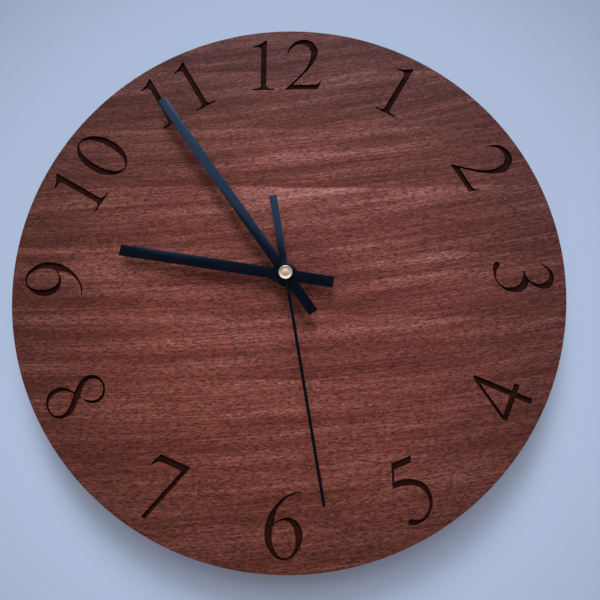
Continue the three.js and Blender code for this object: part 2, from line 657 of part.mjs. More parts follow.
// Setting knob behind the cover, with the pinion that turns the minute wheel.
function settingKnob() {
  const knobFront = coverBack - RUNNING;
  const knobBack = knobFront - KNOB_HEIGHT;
  const radius = KNOB_DIAMETER / 2;
  const fluted = Array.from({ length: KNOB_FLUTES * 2 }, (_, i) =>
    along(settingAxis, 180 * i / KNOB_FLUTES, radius - (i % 2) * KNOB_FLUTE_DEPTH));
  return piece('setting_knob', BLACK_ABS,
    plate(fluted, knobBack, knobFront),
    rod(MINUTE_TUBE / 2, knobBack + KNOB_HEIGHT / 2, minuteLevel.back, SMALL_SIDES, settingAxis),
    plate(gear(CANNON_LEAVES, MOTION_MODULE, settingTurn, settingAxis), minuteLevel.back - OVERLAP,
      minuteLevel.front + OVERLAP),
    rod(ARBOR / 2, minuteLevel.back, plateInner - SEAT, SMALL_SIDES, settingAxis),
    rod(PIVOT / 2, minuteLevel.back, plateInner + PIVOT_LENGTH, SMALL_SIDES, settingAxis),
  );
}

// Stepping motor: rotor in the stator's hole, with the coil on a core that bridges the stator's legs.
function motor() {
  const magnetBack = statorLevel.back + STATOR_SHEET / 2 - MAGNET_HEIGHT / 2;
  const magnetFront = magnetBack + MAGNET_HEIGHT;
  const rotor = join(
    plate(gear(PINION_LEAVES, STEP_MODULE, rotorTurn, rotorAxis), intermediateLevel.back - OVERLAP,
      intermediateLevel.front + OVERLAP),
    rod(ARBOR / 2, coverInner + SEAT, bridgeLevel.back - SEAT, SMALL_SIDES, rotorAxis),
    rod(PIVOT / 2, coverInner + SEAT - PIVOT_LENGTH, bridgeLevel.back - SEAT + PIVOT_LENGTH, SMALL_SIDES,
      rotorAxis),
  );
  const [leftLeg, rightLeg] = legAxes;
  const corner = (leg) => new THREE.Vector2(leg.x, rotorAxis.y);
  const sheet = (outline) => plate(outline, statorLevel.back, statorLevel.front);
  const screwHole = MOTOR_SCREW_SHANK / 2 + ENTRY;
  const holes = legAxes.map((leg) => rod(screwHole, statorLevel.back - STATOR_SHEET, coreFront + STATOR_SHEET,
    SMALL_SIDES, leg));
  const stator = cut(
    join(
      sheet(capsule(corner(leftLeg), corner(rightLeg), STATOR_BAR)),
      ...legAxes.map((leg) => sheet(capsule(corner(leg), leg, STATOR_LEG))),
      sheet(circle(statorHole + STATOR_RING, ROUND_SIDES, rotorAxis)),
    ),
    rod(statorHole, statorLevel.back - STATOR_SHEET, statorLevel.front + STATOR_SHEET, ROUND_SIDES, rotorAxis),
    ...holes,
  );
  const coreBar = rectangle(leftLeg.x, coilY - CORE_WIDTH / 2, rightLeg.x, coilY + CORE_WIDTH / 2);
  const core = cut(
    join(
      plate(coreBar, coreBack, coreFront),
      ...legAxes.map((leg) => plate(circle(STATOR_LEG / 2, SMALL_SIDES, leg), coreBack, coreFront)),
    ),
    ...holes,
  );
  return group(
    piece('rotor', WHITE_ACETAL, rotor),
    piece('rotor_magnet', MAGNET, tube(MAGNET_DIAMETER / 2, ARBOR / 2 + SEAT, magnetBack, magnetFront, ROUND_SIDES,
      rotorAxis)),
    piece('stator', STEEL, stator),
    piece('coil_core', STEEL, core),
    ...coil(),
    ...motorScrews(),
  );
}

// Bobbin and winding, turned about the core's axis.
function coil() {
  const half = COIL_LENGTH / 2;
  const tubeRadius = BOBBIN_TUBE / 2;
  const rim = COIL_DIAMETER / 2;
  const inner = half - BOBBIN_FLANGE;
  const slotWidth = CORE_WIDTH / 2 + ENTRY;
  const slotHeight = STATOR_SHEET / 2 + ENTRY;
  const lay = (geometry) => geometry.rotateY(Math.PI / 2).translate(rotorAxis.x, coilY, coilZ);
  const slot = plate(rectangle(-slotHeight, -slotWidth, slotHeight, slotWidth), -COIL_LENGTH, COIL_LENGTH);
  const spool = turned([[0, -half], [rim, -half], [rim, -inner], [tubeRadius, -inner], [tubeRadius, inner],
    [rim, inner], [rim, half], [0, half]], ROUND_SIDES);
  const winding = tube(rim - INNER_CLEARANCE, tubeRadius + SEAT, SEAT - inner, inner - SEAT, ROUND_SIDES);
  return [
    piece('coil_bobbin', WHITE_ACETAL, cut(lay(spool), lay(slot))),
    piece('coil_winding', COPPER, lay(winding)),
  ];
}

function motorScrews() {
  const headFront = statorLevel.back - SEAT;
  const headBack = headFront - MOTOR_SCREW_HEAD_HEIGHT;
  const shank = MOTOR_SCREW_SHANK / 2;
  const head = MOTOR_SCREW_HEAD / 2;
  const end = coreFront + MOTOR_SCREW_GRIP;
  const screw = [[0, headBack], [head, headBack], [head, headFront], [shank, headFront], [shank, end], [0, end]];
  return legAxes.map((leg, i) => piece(`motor_screw_${['left', 'right'][i]}`, STEEL,
    turned(screw, SMALL_SIDES, leg)));
}

// Circuit board on its two pins, with the crystal can and the chip under its bead of resin.
function electronics() {
  const board = roundedRectangle(boardX - BOARD_LENGTH / 2, boardY - BOARD_WIDTH / 2,
    boardX + BOARD_LENGTH / 2, boardY + BOARD_WIDTH / 2, POST / 2);
  const holes = boardPins.map((pin) => circle(BOARD_PIN / 2 + RUNNING, SMALL_SIDES, pin));
  const crystalZ = boardBack - SEAT - CRYSTAL_DIAMETER / 2;
  const crystal = rod(CRYSTAL_DIAMETER / 2, -CRYSTAL_LENGTH / 2, CRYSTAL_LENGTH / 2, SMALL_SIDES)
    .rotateY(Math.PI / 2).translate(boardX + CRYSTAL_OFFSET.x, boardY + CRYSTAL_OFFSET.y, crystalZ);
  const chipAxis = new THREE.Vector2(boardX + CHIP_OFFSET.x, boardY + CHIP_OFFSET.y);
  const beadFoot = boardBack - SEAT;
  const dome = Array.from({ length: EDGE_STEPS + 1 }, (_, i) => {
    const angle = Math.PI / 2 * (1 - i / EDGE_STEPS);
    return [CHIP_DIAMETER / 2 * Math.cos(angle), beadFoot - CHIP_HEIGHT * Math.sin(angle)];
  });
  const chip = turned([...dome, [0, beadFoot]], SMALL_SIDES, chipAxis);
  return group(
    piece('circuit_board', BOARD_LAMINATE, plate(board, boardBack, boardFront, holes)),
    piece('quartz_crystal', STEEL, crystal),
    piece('chip_bead', EPOXY, chip),
  );
}

// Cell in its bay, with a bowed leaf contact at each end.
function power() {
  const half = CELL_LENGTH / 2;
  const radius = CELL_DIAMETER / 2;
  const nub = CELL_NUB / 2;
  const shoulder = half - CELL_NUB_HEIGHT;
  const edge = CELL_CLEARANCE;
  const cell = turned([[0, -half], [radius - edge, -half], [radius, edge - half], [radius, shoulder - edge],
    [radius - edge, shoulder], [nub, shoulder], [nub, half], [0, half]], ROUND_SIDES)
    .rotateY(Math.PI / 2).translate(0, cellY, cellZ);
  return group(
    piece('cell', CELL_JACKET, cell),
    piece('positive_contact', STEEL, contact(1)),
    piece('negative_contact', STEEL, contact(-1)),
  );
}

// Leaf bent from sheet: flat feet against the end wall, with the middle bowed to the cell.
function contact(side) {
  const wall = bayHalf - SEAT;
  const leafHalf = CELL_DIAMETER / 2 - CONTACT_BOW;
  const bow = (z) => wall - CONTACT_BOW * Math.cos(Math.PI / 2 * z / leafHalf) ** 2;
  const heights = Array.from({ length: LEAF_STEPS * 2 + 1 }, (_, i) => leafHalf * (i / LEAF_STEPS - 1));
  const outer = heights.map((z) => new THREE.Vector2(bow(z), z));
  const inner = heights.toReversed().map((z) => new THREE.Vector2(bow(z) - CONTACT_SHEET, z));
  const strip = plate([...outer, ...inner], -CONTACT_WIDTH / 2, CONTACT_WIDTH / 2).rotateX(Math.PI / 2);
  return strip.rotateZ(side > 0 ? 0 : Math.PI).translate(0, cellY, cellZ);
}

// Front half of the case: walls, the cell bay, and the posts that carry the bridge, motor and board.
function frontCase() {
  const back = coverInner + SEAT;
  const shell = plate(roundedRectangle(-caseHalf, caseBottom, caseHalf, caseTop, CASE_CORNER), back, caseFront);
  const room = plate(roundedRectangle(-bayHalf, dividerTop, bayHalf, caseTop - CASE_WALL, CASE_CORNER - CASE_WALL),
    back - CASE_WALL, plateInner);
  const bay = plate(rectangle(-bayHalf, bayBottom, bayHalf, bayTop), back - CASE_WALL, plateInner);
  const thumbNotch = rod(CELL_DIAMETER / 2, -CASE_WALL, CASE_WALL, ROUND_SIDES).rotateX(Math.PI / 2)
    .translate(0, caseBottom, back);
  const post = (axis, end, radius = POST / 2) => rod(radius, end, plateInner + FRONT_PLATE / 2, SMALL_SIDES, axis);
  const screwBores = legAxes.map((leg) => rod(MOTOR_SCREW_SHANK / 2 + ENTRY, coreFront - POST,
    coreFront + MOTOR_SCREW_GRIP + ENTRY, SMALL_SIDES, leg));
  return piece('front_case', BLACK_ABS, cut(
    join(
      cut(shell, room, bay, thumbNotch),
      ...postAxes.map((axis) => post(axis, bridgeLevel.front + SEAT)),
      ...legAxes.map((leg) => post(leg, coreFront + SEAT, STATOR_LEG / 2)),
      ...boardPins.map((pin) => post(pin, boardFront + SEAT)),
      ...boardPins.map((pin) => post(pin, boardBack - SEAT, BOARD_PIN / 2)),
      post(minuteAxis, minuteLevel.back, ARBOR / 2),
    ),
    rod(BUSH_THREAD / 2 + ENTRY, plateInner - WHEEL, caseFront + WHEEL, ROUND_SIDES),
    pivotBore(thirdAxis, plateInner, 1),
    pivotBore(settingAxis, plateInner, 1),
    ...screwBores,
  ));
}

// Bridge: a stamped plate on the three posts, with the front pivots of the rotor and intermediate wheel.
function gearBridge() {
  const { back, front } = bridgeLevel;
  const arms = [...postAxes, thirdAxis, intermediateAxis].map((end) => capsule(centreAxis, end, BRIDGE_ARM));
  const rotorArm = capsule(intermediateAxis, rotorAxis, BRIDGE_ARM);
  const through = (axis, radius) => rod(radius, back - WHEEL, front + WHEEL, SMALL_SIDES, axis);
  return piece('gear_bridge', BLACK_ABS, cut(
    join(...[...arms, rotorArm].map((arm) => plate(arm, back, front))),
    through(centreAxis, SECOND_SHAFT / 2 + RUNNING),
    through(thirdAxis, tipRadius(PINION_LEAVES, centreModule) + RUNNING),
    through(intermediateAxis, PIVOT / 2 + RUNNING),
    through(rotorAxis, PIVOT / 2 + RUNNING),
  ));
}

// Rear cover over the train, with a lip inside the walls and the rear pivots' bores.
function rearCover() {
  const lipOuter = INNER_CLEARANCE / 2;
  const lipInner = lipOuter + CASE_WALL / 2;
  const lipLine = (inset) => roundedRectangle(inset - bayHalf, dividerTop + inset, bayHalf - inset,
    caseTop - CASE_WALL - inset, CASE_CORNER - CASE_WALL);
  const lip = plate(lipLine(lipOuter), coverInner - COVER_PLATE / 2, coverInner + COVER_LIP, [lipLine(lipInner)]);
  const sheet = plate(roundedRectangle(-caseHalf, bayTop, caseHalf, caseTop, CASE_CORNER), coverBack, coverInner);
  return piece('rear_cover', BLACK_ABS, cut(
    join(sheet, lip),
    ...[rotorAxis, intermediateAxis, centreAxis, thirdAxis].map((axis) => pivotBore(axis, coverInner, -1)),
    rod(MINUTE_TUBE / 2 + RUNNING, coverBack - WHEEL, coverInner + WHEEL, SMALL_SIDES, settingAxis),
  ));
}

const clock = group(
  dialBoard(),
  hanger(),
  centralFixing(),
  group(frontCase(), gearBridge(), rearCover(), motor(), electronics(), power()),
  group(centreTrain(), sideTrain(), settingKnob()),
  hand('hour_hand', 'hour_hand_collar', HOUR_HAND, hourHandBack, hourCollarBack, HOUR_TUBE),
  hand('minute_hand', 'minute_hand_collar', MINUTE_HAND, minuteHandBack, minuteCollarBack, MINUTE_TUBE),
  secondHand(),
);
clock.rotation.x = Math.PI / 2;

export default group(clock);
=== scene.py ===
"""Looks of a round wooden wall clock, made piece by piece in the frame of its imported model.

X runs to the right, Z up to twelve o'clock, and the dial faces -Y from a wall at y = 0.
"""
import functools
import math

import bmesh
import bpy
from bpy.props import FloatProperty, FloatVectorProperty, IntProperty, PointerProperty
from mathutils import Matrix, Vector


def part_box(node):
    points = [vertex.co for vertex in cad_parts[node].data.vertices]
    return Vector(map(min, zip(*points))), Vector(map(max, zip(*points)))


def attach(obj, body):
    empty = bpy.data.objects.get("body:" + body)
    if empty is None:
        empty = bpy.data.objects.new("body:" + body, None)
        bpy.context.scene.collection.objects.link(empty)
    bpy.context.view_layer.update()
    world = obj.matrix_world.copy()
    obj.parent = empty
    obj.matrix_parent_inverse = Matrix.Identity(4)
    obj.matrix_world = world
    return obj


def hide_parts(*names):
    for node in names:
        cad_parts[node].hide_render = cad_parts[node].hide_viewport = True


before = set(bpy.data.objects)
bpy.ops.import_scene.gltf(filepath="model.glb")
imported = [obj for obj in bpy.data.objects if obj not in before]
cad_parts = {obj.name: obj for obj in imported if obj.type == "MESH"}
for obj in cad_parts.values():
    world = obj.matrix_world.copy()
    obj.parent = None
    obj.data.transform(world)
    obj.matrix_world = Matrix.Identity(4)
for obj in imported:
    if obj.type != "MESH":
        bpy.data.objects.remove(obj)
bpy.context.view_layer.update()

bl_info = {
    "name": "Wooden Wall Clock",
    "version": (1, 0, 0),
    "blender": (4, 5, 0),
    "location": "3D View > Sidebar > Clock",
    "description": "Builds a wooden wall clock with engraved figures around its packed model",
    "category": "Object",
}

MM = 0.001
FIXED = "clock_body"
SECOND, MINUTE, HOUR = "second_hand_body", "minute_hand_body", "hour_hand_body"
HANGER_SCREWS = "hanger_screw_left", "hanger_screw_right"
MOTOR_SCREWS = "motor_screw_left", "motor_screw_right"
SHARP, SMOOTH = "VECTOR", "AUTO"
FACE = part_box("wooden_dial")[0].y

# Room left under the hanger plate and beyond a screw's tip, and the distance below which points are
# welded, in metres
SEAT = 0.1 * MM
ENTRY = 0.3 * MM
WELD = 0.002 * MM

# Radius of the holes that the bush passes through, and half the way from the keyhole's entry to the end
# of its slot, in millimetres
BUSH_HOLE = 4.3
KEYHOLE_REACH = 3.5

# Hour figures as outlines in millimetres, x to the right and y up. A point is smooth unless it is marked
# as an angle
A = SHARP
FIGURES = {
    "0": [
        [(wide * math.sin(i * math.pi / 6), tall * math.cos(i * math.pi / 6)) for i in range(12)]
        for wide, tall in ((10.2, 16), (6.5, 15.2))
    ],
    "1": [[
        (-6.2, -15.8, A), (6.2, -15.8, A), (6.2, -14.9, A), (2.3, -14.3), (1.6, -12.8, A), (1.6, 16.4, A),
        (0.8, 16.4, A), (-2.7, 14.0), (-6.6, 12.5, A), (-6.2, 11.7, A), (-3.1, 12.0), (-1.6, 10.4, A),
        (-1.6, -12.8, A), (-2.3, -14.3), (-6.2, -14.9, A),
    ]],
    "2": [[
        (-9.4, 7.9, A), (-7.5, 12.3), (-4.5, 15.3), (0.4, 16.7), (4.9, 15.4), (7.6, 12.0), (8.7, 8.6),
        (8.1, 5.3), (6.4, 1.9), (3.0, -3.0), (-0.7, -7.1), (-5.9, -12.6, A), (6.4, -12.6, A), (8.4, -12.2),
        (10.3, -9.6, A), (10.8, -9.6, A), (8.6, -15.7, A), (-10.3, -15.7, A), (-10.3, -15.2, A),
        (-5.6, -10.6), (-2.5, -7.2), (0.1, -4.4), (2.3, -0.9), (3.8, 2.4), (4.6, 6.4), (4.2, 9.6),
        (2.3, 12.2), (-0.3, 13.4), (-4.1, 13.0), (-7.1, 10.6), (-8.8, 7.7, A),
    ]],
    "3": [[
        (-7.6, 9.9, A), (-4.0, 14.7), (-0.1, 16.2), (3.8, 15.2), (6.2, 13.0), (6.6, 10.1), (5.3, 5.9),
        (2.9, 2.9, A), (7.0, 0.2), (8.4, -6.5), (4.9, -12.9), (1.3, -15.0), (-2.2, -15.9), (-7.7, -15.1),
        (-8.4, -13.9), (-7.8, -12.5), (-6.1, -12.4), (-3.4, -14.1), (1.6, -14.1), (5.4, -10.4), (5.7, -6.9),
        (5.0, -3.6), (2.6, -1.4), (-0.4, -0.1), (-3.4, 0.2, A), (-3.4, 0.7, A), (0.8, 2.2), (3.5, 6.3),
        (4.0, 8.5), (2.0, 12.5), (-0.4, 13.8), (-3.4, 13.6), (-7.0, 9.6, A),
    ]],
    "4": [
        [(5.8, 15.8, A), (5.8, -4.8, A), (9.8, -4.8, A), (9.8, -7.6, A), (5.8, -7.6, A), (5.8, -15.8, A),
         (2.9, -15.8, A), (2.9, -7.6, A), (-10.0, -7.6, A), (-10.0, -5.0, A), (4.1, 15.8, A)],
        [(2.9, -4.8, A), (-7.8, -4.8, A), (2.9, 11.4, A)],
    ],
    "5": [[
        (6.9, 16.2, A), (5.4, 12.9, A), (-4.0, 12.9, A), (-6.1, 7.4, A), (-2.3, 7.2), (1.2, 6.1), (4.7, 4.0),
        (7.6, 0.7), (8.5, -3.6), (7.6, -8.2), (4.8, -12.1), (0.9, -14.6), (-3.2, -15.2), (-6.4, -14.6),
        (-7.9, -13.1), (-6.9, -11.7), (-4.6, -12.4), (-1.8, -13.6), (1.6, -12.7), (4.3, -10.6), (5.8, -7.9),
        (6.2, -4.7), (5.4, -1.3), (3.4, 1.3), (0.4, 3.1), (-3.0, 4.2), (-8.4, 4.8, A), (-4.0, 16.2, A),
    ]],
    "6": [
        [(8.7, 16.5, A), (5.4, 16.3), (2.4, 15.4), (-1.2, 13.3), (-4.8, 9.8), (-7.3, 6.2), (-9.0, 2.3),
         (-9.8, -2.0), (-9.7, -5.6), (-8.8, -8.8), (-6.6, -12.2), (-3.8, -14.6), (-0.4, -15.6), (2.6, -15.0),
         (5.2, -13.1), (7.4, -10.4), (8.8, -7.1), (9.2, -4.3), (8.8, -1.4), (7.3, 1.5), (5.0, 3.5),
         (1.7, 4.3), (-0.8, 4.0), (-3.2, 2.9), (-5.2, 1.6, A), (-4.7, 4.7), (-3.5, 8.1), (-1.2, 11.3),
         (1.6, 13.9), (4.9, 15.4), (8.7, 16.0, A)],
        [(-5.7, -0.6), (-6.2, -4.4), (-5.9, -7.4), (-4.8, -10.8), (-2.9, -13.4), (-0.4, -14.6), (1.9, -14.3),
         (3.8, -12.8), (5.2, -10.2), (5.7, -7.1), (5.4, -3.8), (4.6, -0.7), (3.0, 1.6), (0.9, 2.8),
         (-1.1, 2.9), (-3.4, 2.1), (-4.9, 1.0)],
    ],
    "7": [[
        (-7.0, 16.2, A), (9.7, 16.2, A), (9.7, 15.4, A), (-0.6, -15.2, A), (-3.2, -15.2, A), (6.5, 12.9, A),
        (-3.6, 12.9, A), (-6.6, 12.2), (-9.2, 9.3, A), (-9.8, 9.5, A),
    ]],
    "8": [
        [(-7.7, 8.6), (-7.2, 11.7), (-5.3, 14.2), (-1.9, 15.9), (1.9, 15.9), (5.2, 14.4), (7.3, 11.4),
         (7.1, 7.7), (5.1, 4.5), (2.0, 1.7), (3.6, 0.0), (6.1, -2.5), (7.8, -5.0), (8.3, -8.0), (7.8, -11.2),
         (5.7, -13.9), (2.5, -15.5), (-1.3, -15.6), (-4.9, -14.2), (-7.2, -11.6), (-7.9, -8.3), (-7.1, -4.9),
         (-5.1, -2.0), (-2.5, 0.3), (-3.8, 1.8), (-6.1, 4.4)],
        [(-4.6, 7.3), (-5.3, 10.6), (-3.7, 13.6), (-0.6, 15.1), (2.7, 14.4), (5.2, 12.0), (5.7, 8.7),
         (4.3, 5.4), (1.5, 2.6), (-1.6, 4.3)],
        [(-4.3, -11.9), (-5.4, -8.9), (-5.0, -5.2), (-3.3, -2.2), (-1.4, -0.5), (0.6, -1.8), (3.9, -4.6),
         (6.1, -8.0), (6.3, -11.1), (4.7, -13.5), (1.8, -14.7), (-1.5, -14.5), (-3.3, -13.3)],
    ],
}
FIGURES["9"] = [[(-x, -y, *kind) for x, y, *kind in loop] for loop in FIGURES["6"]]

# Where each hour's figures lie across their place on the ring, in millimetres, and how far they
# are turned clockwise from upright, in degrees
HOURS = {
    1: ([("1", 0.0)], 30), 2: ([("2", 0.0)], 60), 3: ([("3", 0.0)], 90), 4: ([("4", 0.0)], -67),
    5: ([("5", 0.0)], -23), 6: ([("6", -0.3)], 0), 7: ([("7", 0.0)], 23), 8: ([("8", 0.0)], 67),
    9: ([("9", -1.0)], 270), 10: ([("1", -14.3), ("0", 9.1)], 300), 11: ([("1", -11.8), ("1", 9.9)], 330),
    12: ([("1", -14.2), ("2", 8.9)], 0),
}


def length(name, description, millimetres):
    """Setting that is a length."""
    return FloatProperty(name=name, description=description, default=millimetres * MM, unit="LENGTH")


class DialSettings(bpy.types.PropertyGroup):
    """Board with the hour figures cut into its face."""
    edge_round: length("Edge round", "Radius of the rounded front edge", 0.4)
    back_chamfer: length("Back chamfer", "Chamfer around the back", 0.8)
    figure_ring: length("Figure ring", "Radius on which the figures lie", 127.5)
    figure_depth: length("Figure depth", "How deep the figures are cut", 1.2)
    web: length("Web", "Wood left between the pocket and the face", 4)
    ribbon: length("Ribbon height", "Height of one ribbon of the grain", 36)


class HandSettings(bpy.types.PropertyGroup):
    """Hands stamped from sheet."""
    edge: length("Edge", "Rounding left by the press", 0.1)
    hour_width: length("Hour width", "Width of the hour hand", 6.2)
    minute_width: length("Minute width", "Width of the minute hand", 5.4)
    second_width: length("Second width", "Width of the second hand", 1.6)


class MovementSettings(bpy.types.PropertyGroup):
    """Quartz movement, its fixing and the hanger."""
    thread_pitch: length("Thread pitch", "Pitch of the bush's thread", 0.75)
    mould_edge: length("Mould edge", "Rounding of the moulded edges", 0.25)
    knob_ribs: IntProperty(name="Knob ribs", description="Ribs around the setting knob", default=18)
    wire: length("Wire", "Diameter of the coil's wire as drawn", 0.25)


class StageSettings(bpy.types.PropertyGroup):
    """Wall, light and camera."""
    wall_colour: FloatVectorProperty(
        name="Wall", description="Paint of the wall", default=(0.485, 0.565, 0.71), subtype="COLOR")
    lamp_power: FloatProperty(
        name="Lamps", description="Power of the key lamp, which the others follow", default=44.0,
        unit="POWER")
    lens: FloatProperty(
        name="Lens", description="Focal length on a 36 mm sensor", default=31.504, unit="CAMERA")


class ClockSettings(bpy.types.PropertyGroup):
    """All settings of the clock."""
    dial: PointerProperty(type=DialSettings, name="Dial", description="Board and figures")
    hands: PointerProperty(type=HandSettings, name="Hands", description="Stamped hands")
    movement: PointerProperty(type=MovementSettings, name="Movement", description="Movement and fixing")
    stage: PointerProperty(type=StageSettings, name="Stage", description="Wall, light and camera")


# Nodes

def linear(hex_colour):
    """Linear colour with full alpha from an sRGB hex value."""
    values = [int(hex_colour[i:i + 2], 16) / 255 for i in (1, 3, 5)]
    return tuple(v / 12.92 if v <= 0.04045 else ((v + 0.055) / 1.055) ** 2.4 for v in values) + (1.0,)


def add(tree, kind, links=None, **settings):
    """Add a node with its settings. links gives an input's name or number a value or an output socket."""
    node = tree.nodes.new(kind)
    for name, value in settings.items():
        setattr(node, name, value)
    for key, value in (links or {}).items():
        if isinstance(value, bpy.types.NodeSocket):
            tree.links.new(value, node.inputs[key])
        else:
            node.inputs[key].default_value = value
    return node


def calc(tree, operation, *values):
    """Result of a sum on values."""
    return add(tree, "ShaderNodeMath", dict(enumerate(values)), operation=operation).outputs[0]


def measure(tree, operation, *vectors):
    """Number taken from vectors."""
    return add(tree, "ShaderNodeVectorMath", dict(enumerate(vectors)), operation=operation).outputs["Value"]


def remap(tree, value, low, high, first=0.0, last=1.0, **settings):
    """Number that runs from first to last while a value runs from low to high."""
    links = dict(enumerate((value, low, high, first, last)))
    return add(tree, "ShaderNodeMapRange", links, **settings).outputs[0]


def stretched(tree, vector, size, location=(0.0, 0.0, 0.0)):
    """Vector in units of a size along each axis, then moved."""
    return add(tree, "ShaderNodeMapping", {
        0: vector, "Location": location, "Scale": tuple(1 / s for s in size)}).outputs[0]


def noise(tree, vector, scale=1.0, detail=1.0, roughness=0.5):
    """Outputs of a noise texture."""
    return add(tree, "ShaderNodeTexNoise", {
        "Vector": vector, "Scale": scale, "Detail": detail, "Roughness": roughness}).outputs


def ramp(tree, value, *stops, interpolation="LINEAR"):
    """Colour that a value picks from places and sRGB hex values."""
    node = add(tree, "ShaderNodeValToRGB", {0: value})
    elements = node.color_ramp.elements
    for i, (place, colour) in enumerate(stops):
        stop = elements[i] if i < 2 else elements.new(place)
        stop.position, stop.color = place, linear(colour)
    node.color_ramp.interpolation = interpolation
    return node.outputs[0]


def blend(tree, factor, one, two, **settings):
    """Colour mixed from two."""
    return add(tree, "ShaderNodeMix", {0: factor, 6: one, 7: two}, data_type="RGBA", **settings).outputs[2]


def bump(tree, height, strength, depth):
    """Normal of a relief whose depth is in millimetres."""
    return add(tree, "ShaderNodeBump", {
        "Strength": strength, "Distance": depth * MM, "Height": height}).outputs[0]


def start(name):
    """Begin a material: itself, its tree, and Object coordinates in millimetres."""
    material = bpy.data.materials.new(name)
    material.use_nodes = True
    tree = material.node_tree
    tree.nodes.clear()
    place = add(tree, "ShaderNodeTexCoord")
    scaled = add(tree, "ShaderNodeVectorMath", {
        0: place.outputs["Object"], "Scale": 1 / MM}, operation="SCALE")
    return material, tree, scaled.outputs["Vector"]


def shaded(material, tree, colour, rough, inputs):
    """End a material with its surface."""
    shader = add(tree, "ShaderNodeBsdfPrincipled", {"Base Color": colour, "Roughness": rough, **inputs})
    add(tree, "ShaderNodeOutputMaterial", {0: shader.outputs[0]})
    return material


# Materials

# Sizes that flatten a vector onto the dial
ONTO_DIAL = 1, math.inf, 1


def sapele_grain(tree, mm):
    """Tone and pores of ribbon-striped sapele, each from 0 to 1."""
    ribbon = bpy.context.scene.wall_clock.dial.ribbon / MM
    x, y, z = add(tree, "ShaderNodeSeparateXYZ", {0: mm}).outputs
    lower_half = z, -70.0, 10.0
    # Ribbon edges drift by a millimetre or so along the board, and show more in some places than in
    # others, less so in the lower half
    drift = noise(tree, stretched(tree, mm, (110, 60, 50), (0.35, 0.0, 0.1)))
    drifts = add(tree, "ShaderNodeSeparateColor", {0: drift["Color"]}).outputs
    shift = remap(tree, drifts[0], 0.3, 0.7, -1.6, 1.6)
    show = remap(tree, drifts[1], 0.38, 0.6, 0.08, remap(tree, *lower_half, 0.16, 0.28))
    # One edge, above the middle, is bolder than the rest
    far = measure(tree, "LENGTH", stretched(tree, mm, (95, math.inf, 30), (0.0, 0.0, -52 / 30)))
    bold = calc(tree, "ADD", remap(tree, far, 0.3, 1.0, 0.3, 0.0), show)
    count = calc(tree, "MULTIPLY_ADD", calc(tree, "ADD", z, shift), 1 / ribbon, -16 / ribbon)
    strip = calc(tree, "FLOOR", count)
    climb = calc(tree, "FRACT", count)
    fade = calc(tree, "MINIMUM", climb, calc(tree, "MULTIPLY_ADD", climb, -30.0, 30.0))
    # Within a ribbon the fibres rise to the right by a few degrees, more so at the right
    chance = add(tree, "ShaderNodeTexWhiteNoise", {"W": strip}, noise_dimensions="1D").outputs[0]
    slope = remap(tree, chance, 0.0, 1.0, -0.08, -0.15)
    rise = calc(tree, "MULTIPLY_ADD", x, calc(tree, "MULTIPLY_ADD", x, -0.0003, slope), z)
    along = calc(tree, "MULTIPLY_ADD", strip, 57.0, x)
    fibre = add(tree, "ShaderNodeCombineXYZ", {0: along, 1: y, 2: rise}).outputs[0]
    # Each ribbon is pale along its top and darkens downwards, under bands, streaks and fine fibres
    tone = calc(tree, "MULTIPLY_ADD", calc(tree, "SUBTRACT", fade, 0.5), bold, 0.48)
    bands = remap(tree, *lower_half, 0.9, 1.2)
    layers = ((110, 12, 7), 2.0, bands), ((70, 1.6, 0.8), 1.0, 0.75), ((2.2, 0.7, 0.55), 1.0, 0.85)
    for size, detail, weight in layers:
        layer = noise(tree, stretched(tree, fibre, size), detail=detail, roughness=0.6)[0]
        tone = calc(tree, "MULTIPLY_ADD", calc(tree, "SUBTRACT", layer, 0.5), weight, tone)
    dots = noise(tree, stretched(tree, fibre, (1.9, 0.8, 0.55)))[0]
    return tone, remap(tree, dots, 0.53, 0.6)


@functools.cache
def oiled_sapele():
    # Sapele sanded and oiled: ribbons of pale and dark red-brown, fine dark pores and a satin sheen
    material, tree, mm = start("sapele_oiled")
    tone, pores = sapele_grain(tree, mm)
    fibres = ramp(tree, tone, (0.0, "#551f17"), (1.0, "#b87465"), (0.35, "#733428"), (0.65, "#904d3f"))
    colour = blend(tree, calc(tree, "MULTIPLY", pores, 0.65), fibres, linear("#380f0a"))
    # Painted shade: the board is painted darker towards its rim, and most at the top, standing in for light
    # that falls off towards the edge
    radius = measure(tree, "LENGTH", stretched(tree, mm, ONTO_DIAL, (0.0, 0.0, 10.0)))
    painted_rim_shade = remap(tree, radius, 60.0, 162.0, 1.0, 0.52, interpolation_type="SMOOTHSTEP")
    colour = blend(tree, 1.0, colour, painted_rim_shade, blend_type="MULTIPLY")
    # Painted reflection: the upper right is painted bluer, a painted bluish sheen that stands in for
    # reflected window light
    painted_sheen_side = remap(tree, measure(tree, "DOT_PRODUCT", mm, (0.8, 0.0, 0.6)), -80.0, 90.0)
    painted_sheen_tint = blend(tree, painted_sheen_side, (0.97, 0.96, 0.92, 1.0), (0.99, 1.03, 1.17, 1.0))
    colour = blend(tree, 1.0, colour, painted_sheen_tint, blend_type="MULTIPLY")
    relief = calc(tree, "MULTIPLY_ADD", pores, -1.0, tone)
    return shaded(material, tree, colour, remap(tree, tone, 0.0, 1.0, 0.7, 0.6), {
        "Specular IOR Level": 0.2, "Normal": bump(tree, relief, 0.35, 0.05)})


@functools.cache
def burnt_sapele():
    # Sapele cut by a laser: charred walls, nearly black, and a dark red floor where the fibres still show
    material, tree, mm = start("sapele_engraved")
    tone, _ = sapele_grain(tree, mm)
    normal = add(tree, "ShaderNodeNewGeometry").outputs["Normal"]
    floor = remap(tree, measure(tree, "DOT_PRODUCT", normal, (0.0, -1.0, 0.0)), 0.4, 0.9)
    fibres = ramp(tree, tone, (0.2, "#180806"), (0.8, "#34140f"))
    colour = blend(tree, floor, linear("#140604"), fibres)
    return shaded(material, tree, colour, 0.85, {
        "Specular IOR Level": 0.06, "Normal": bump(tree, tone, 0.5, 0.1)})


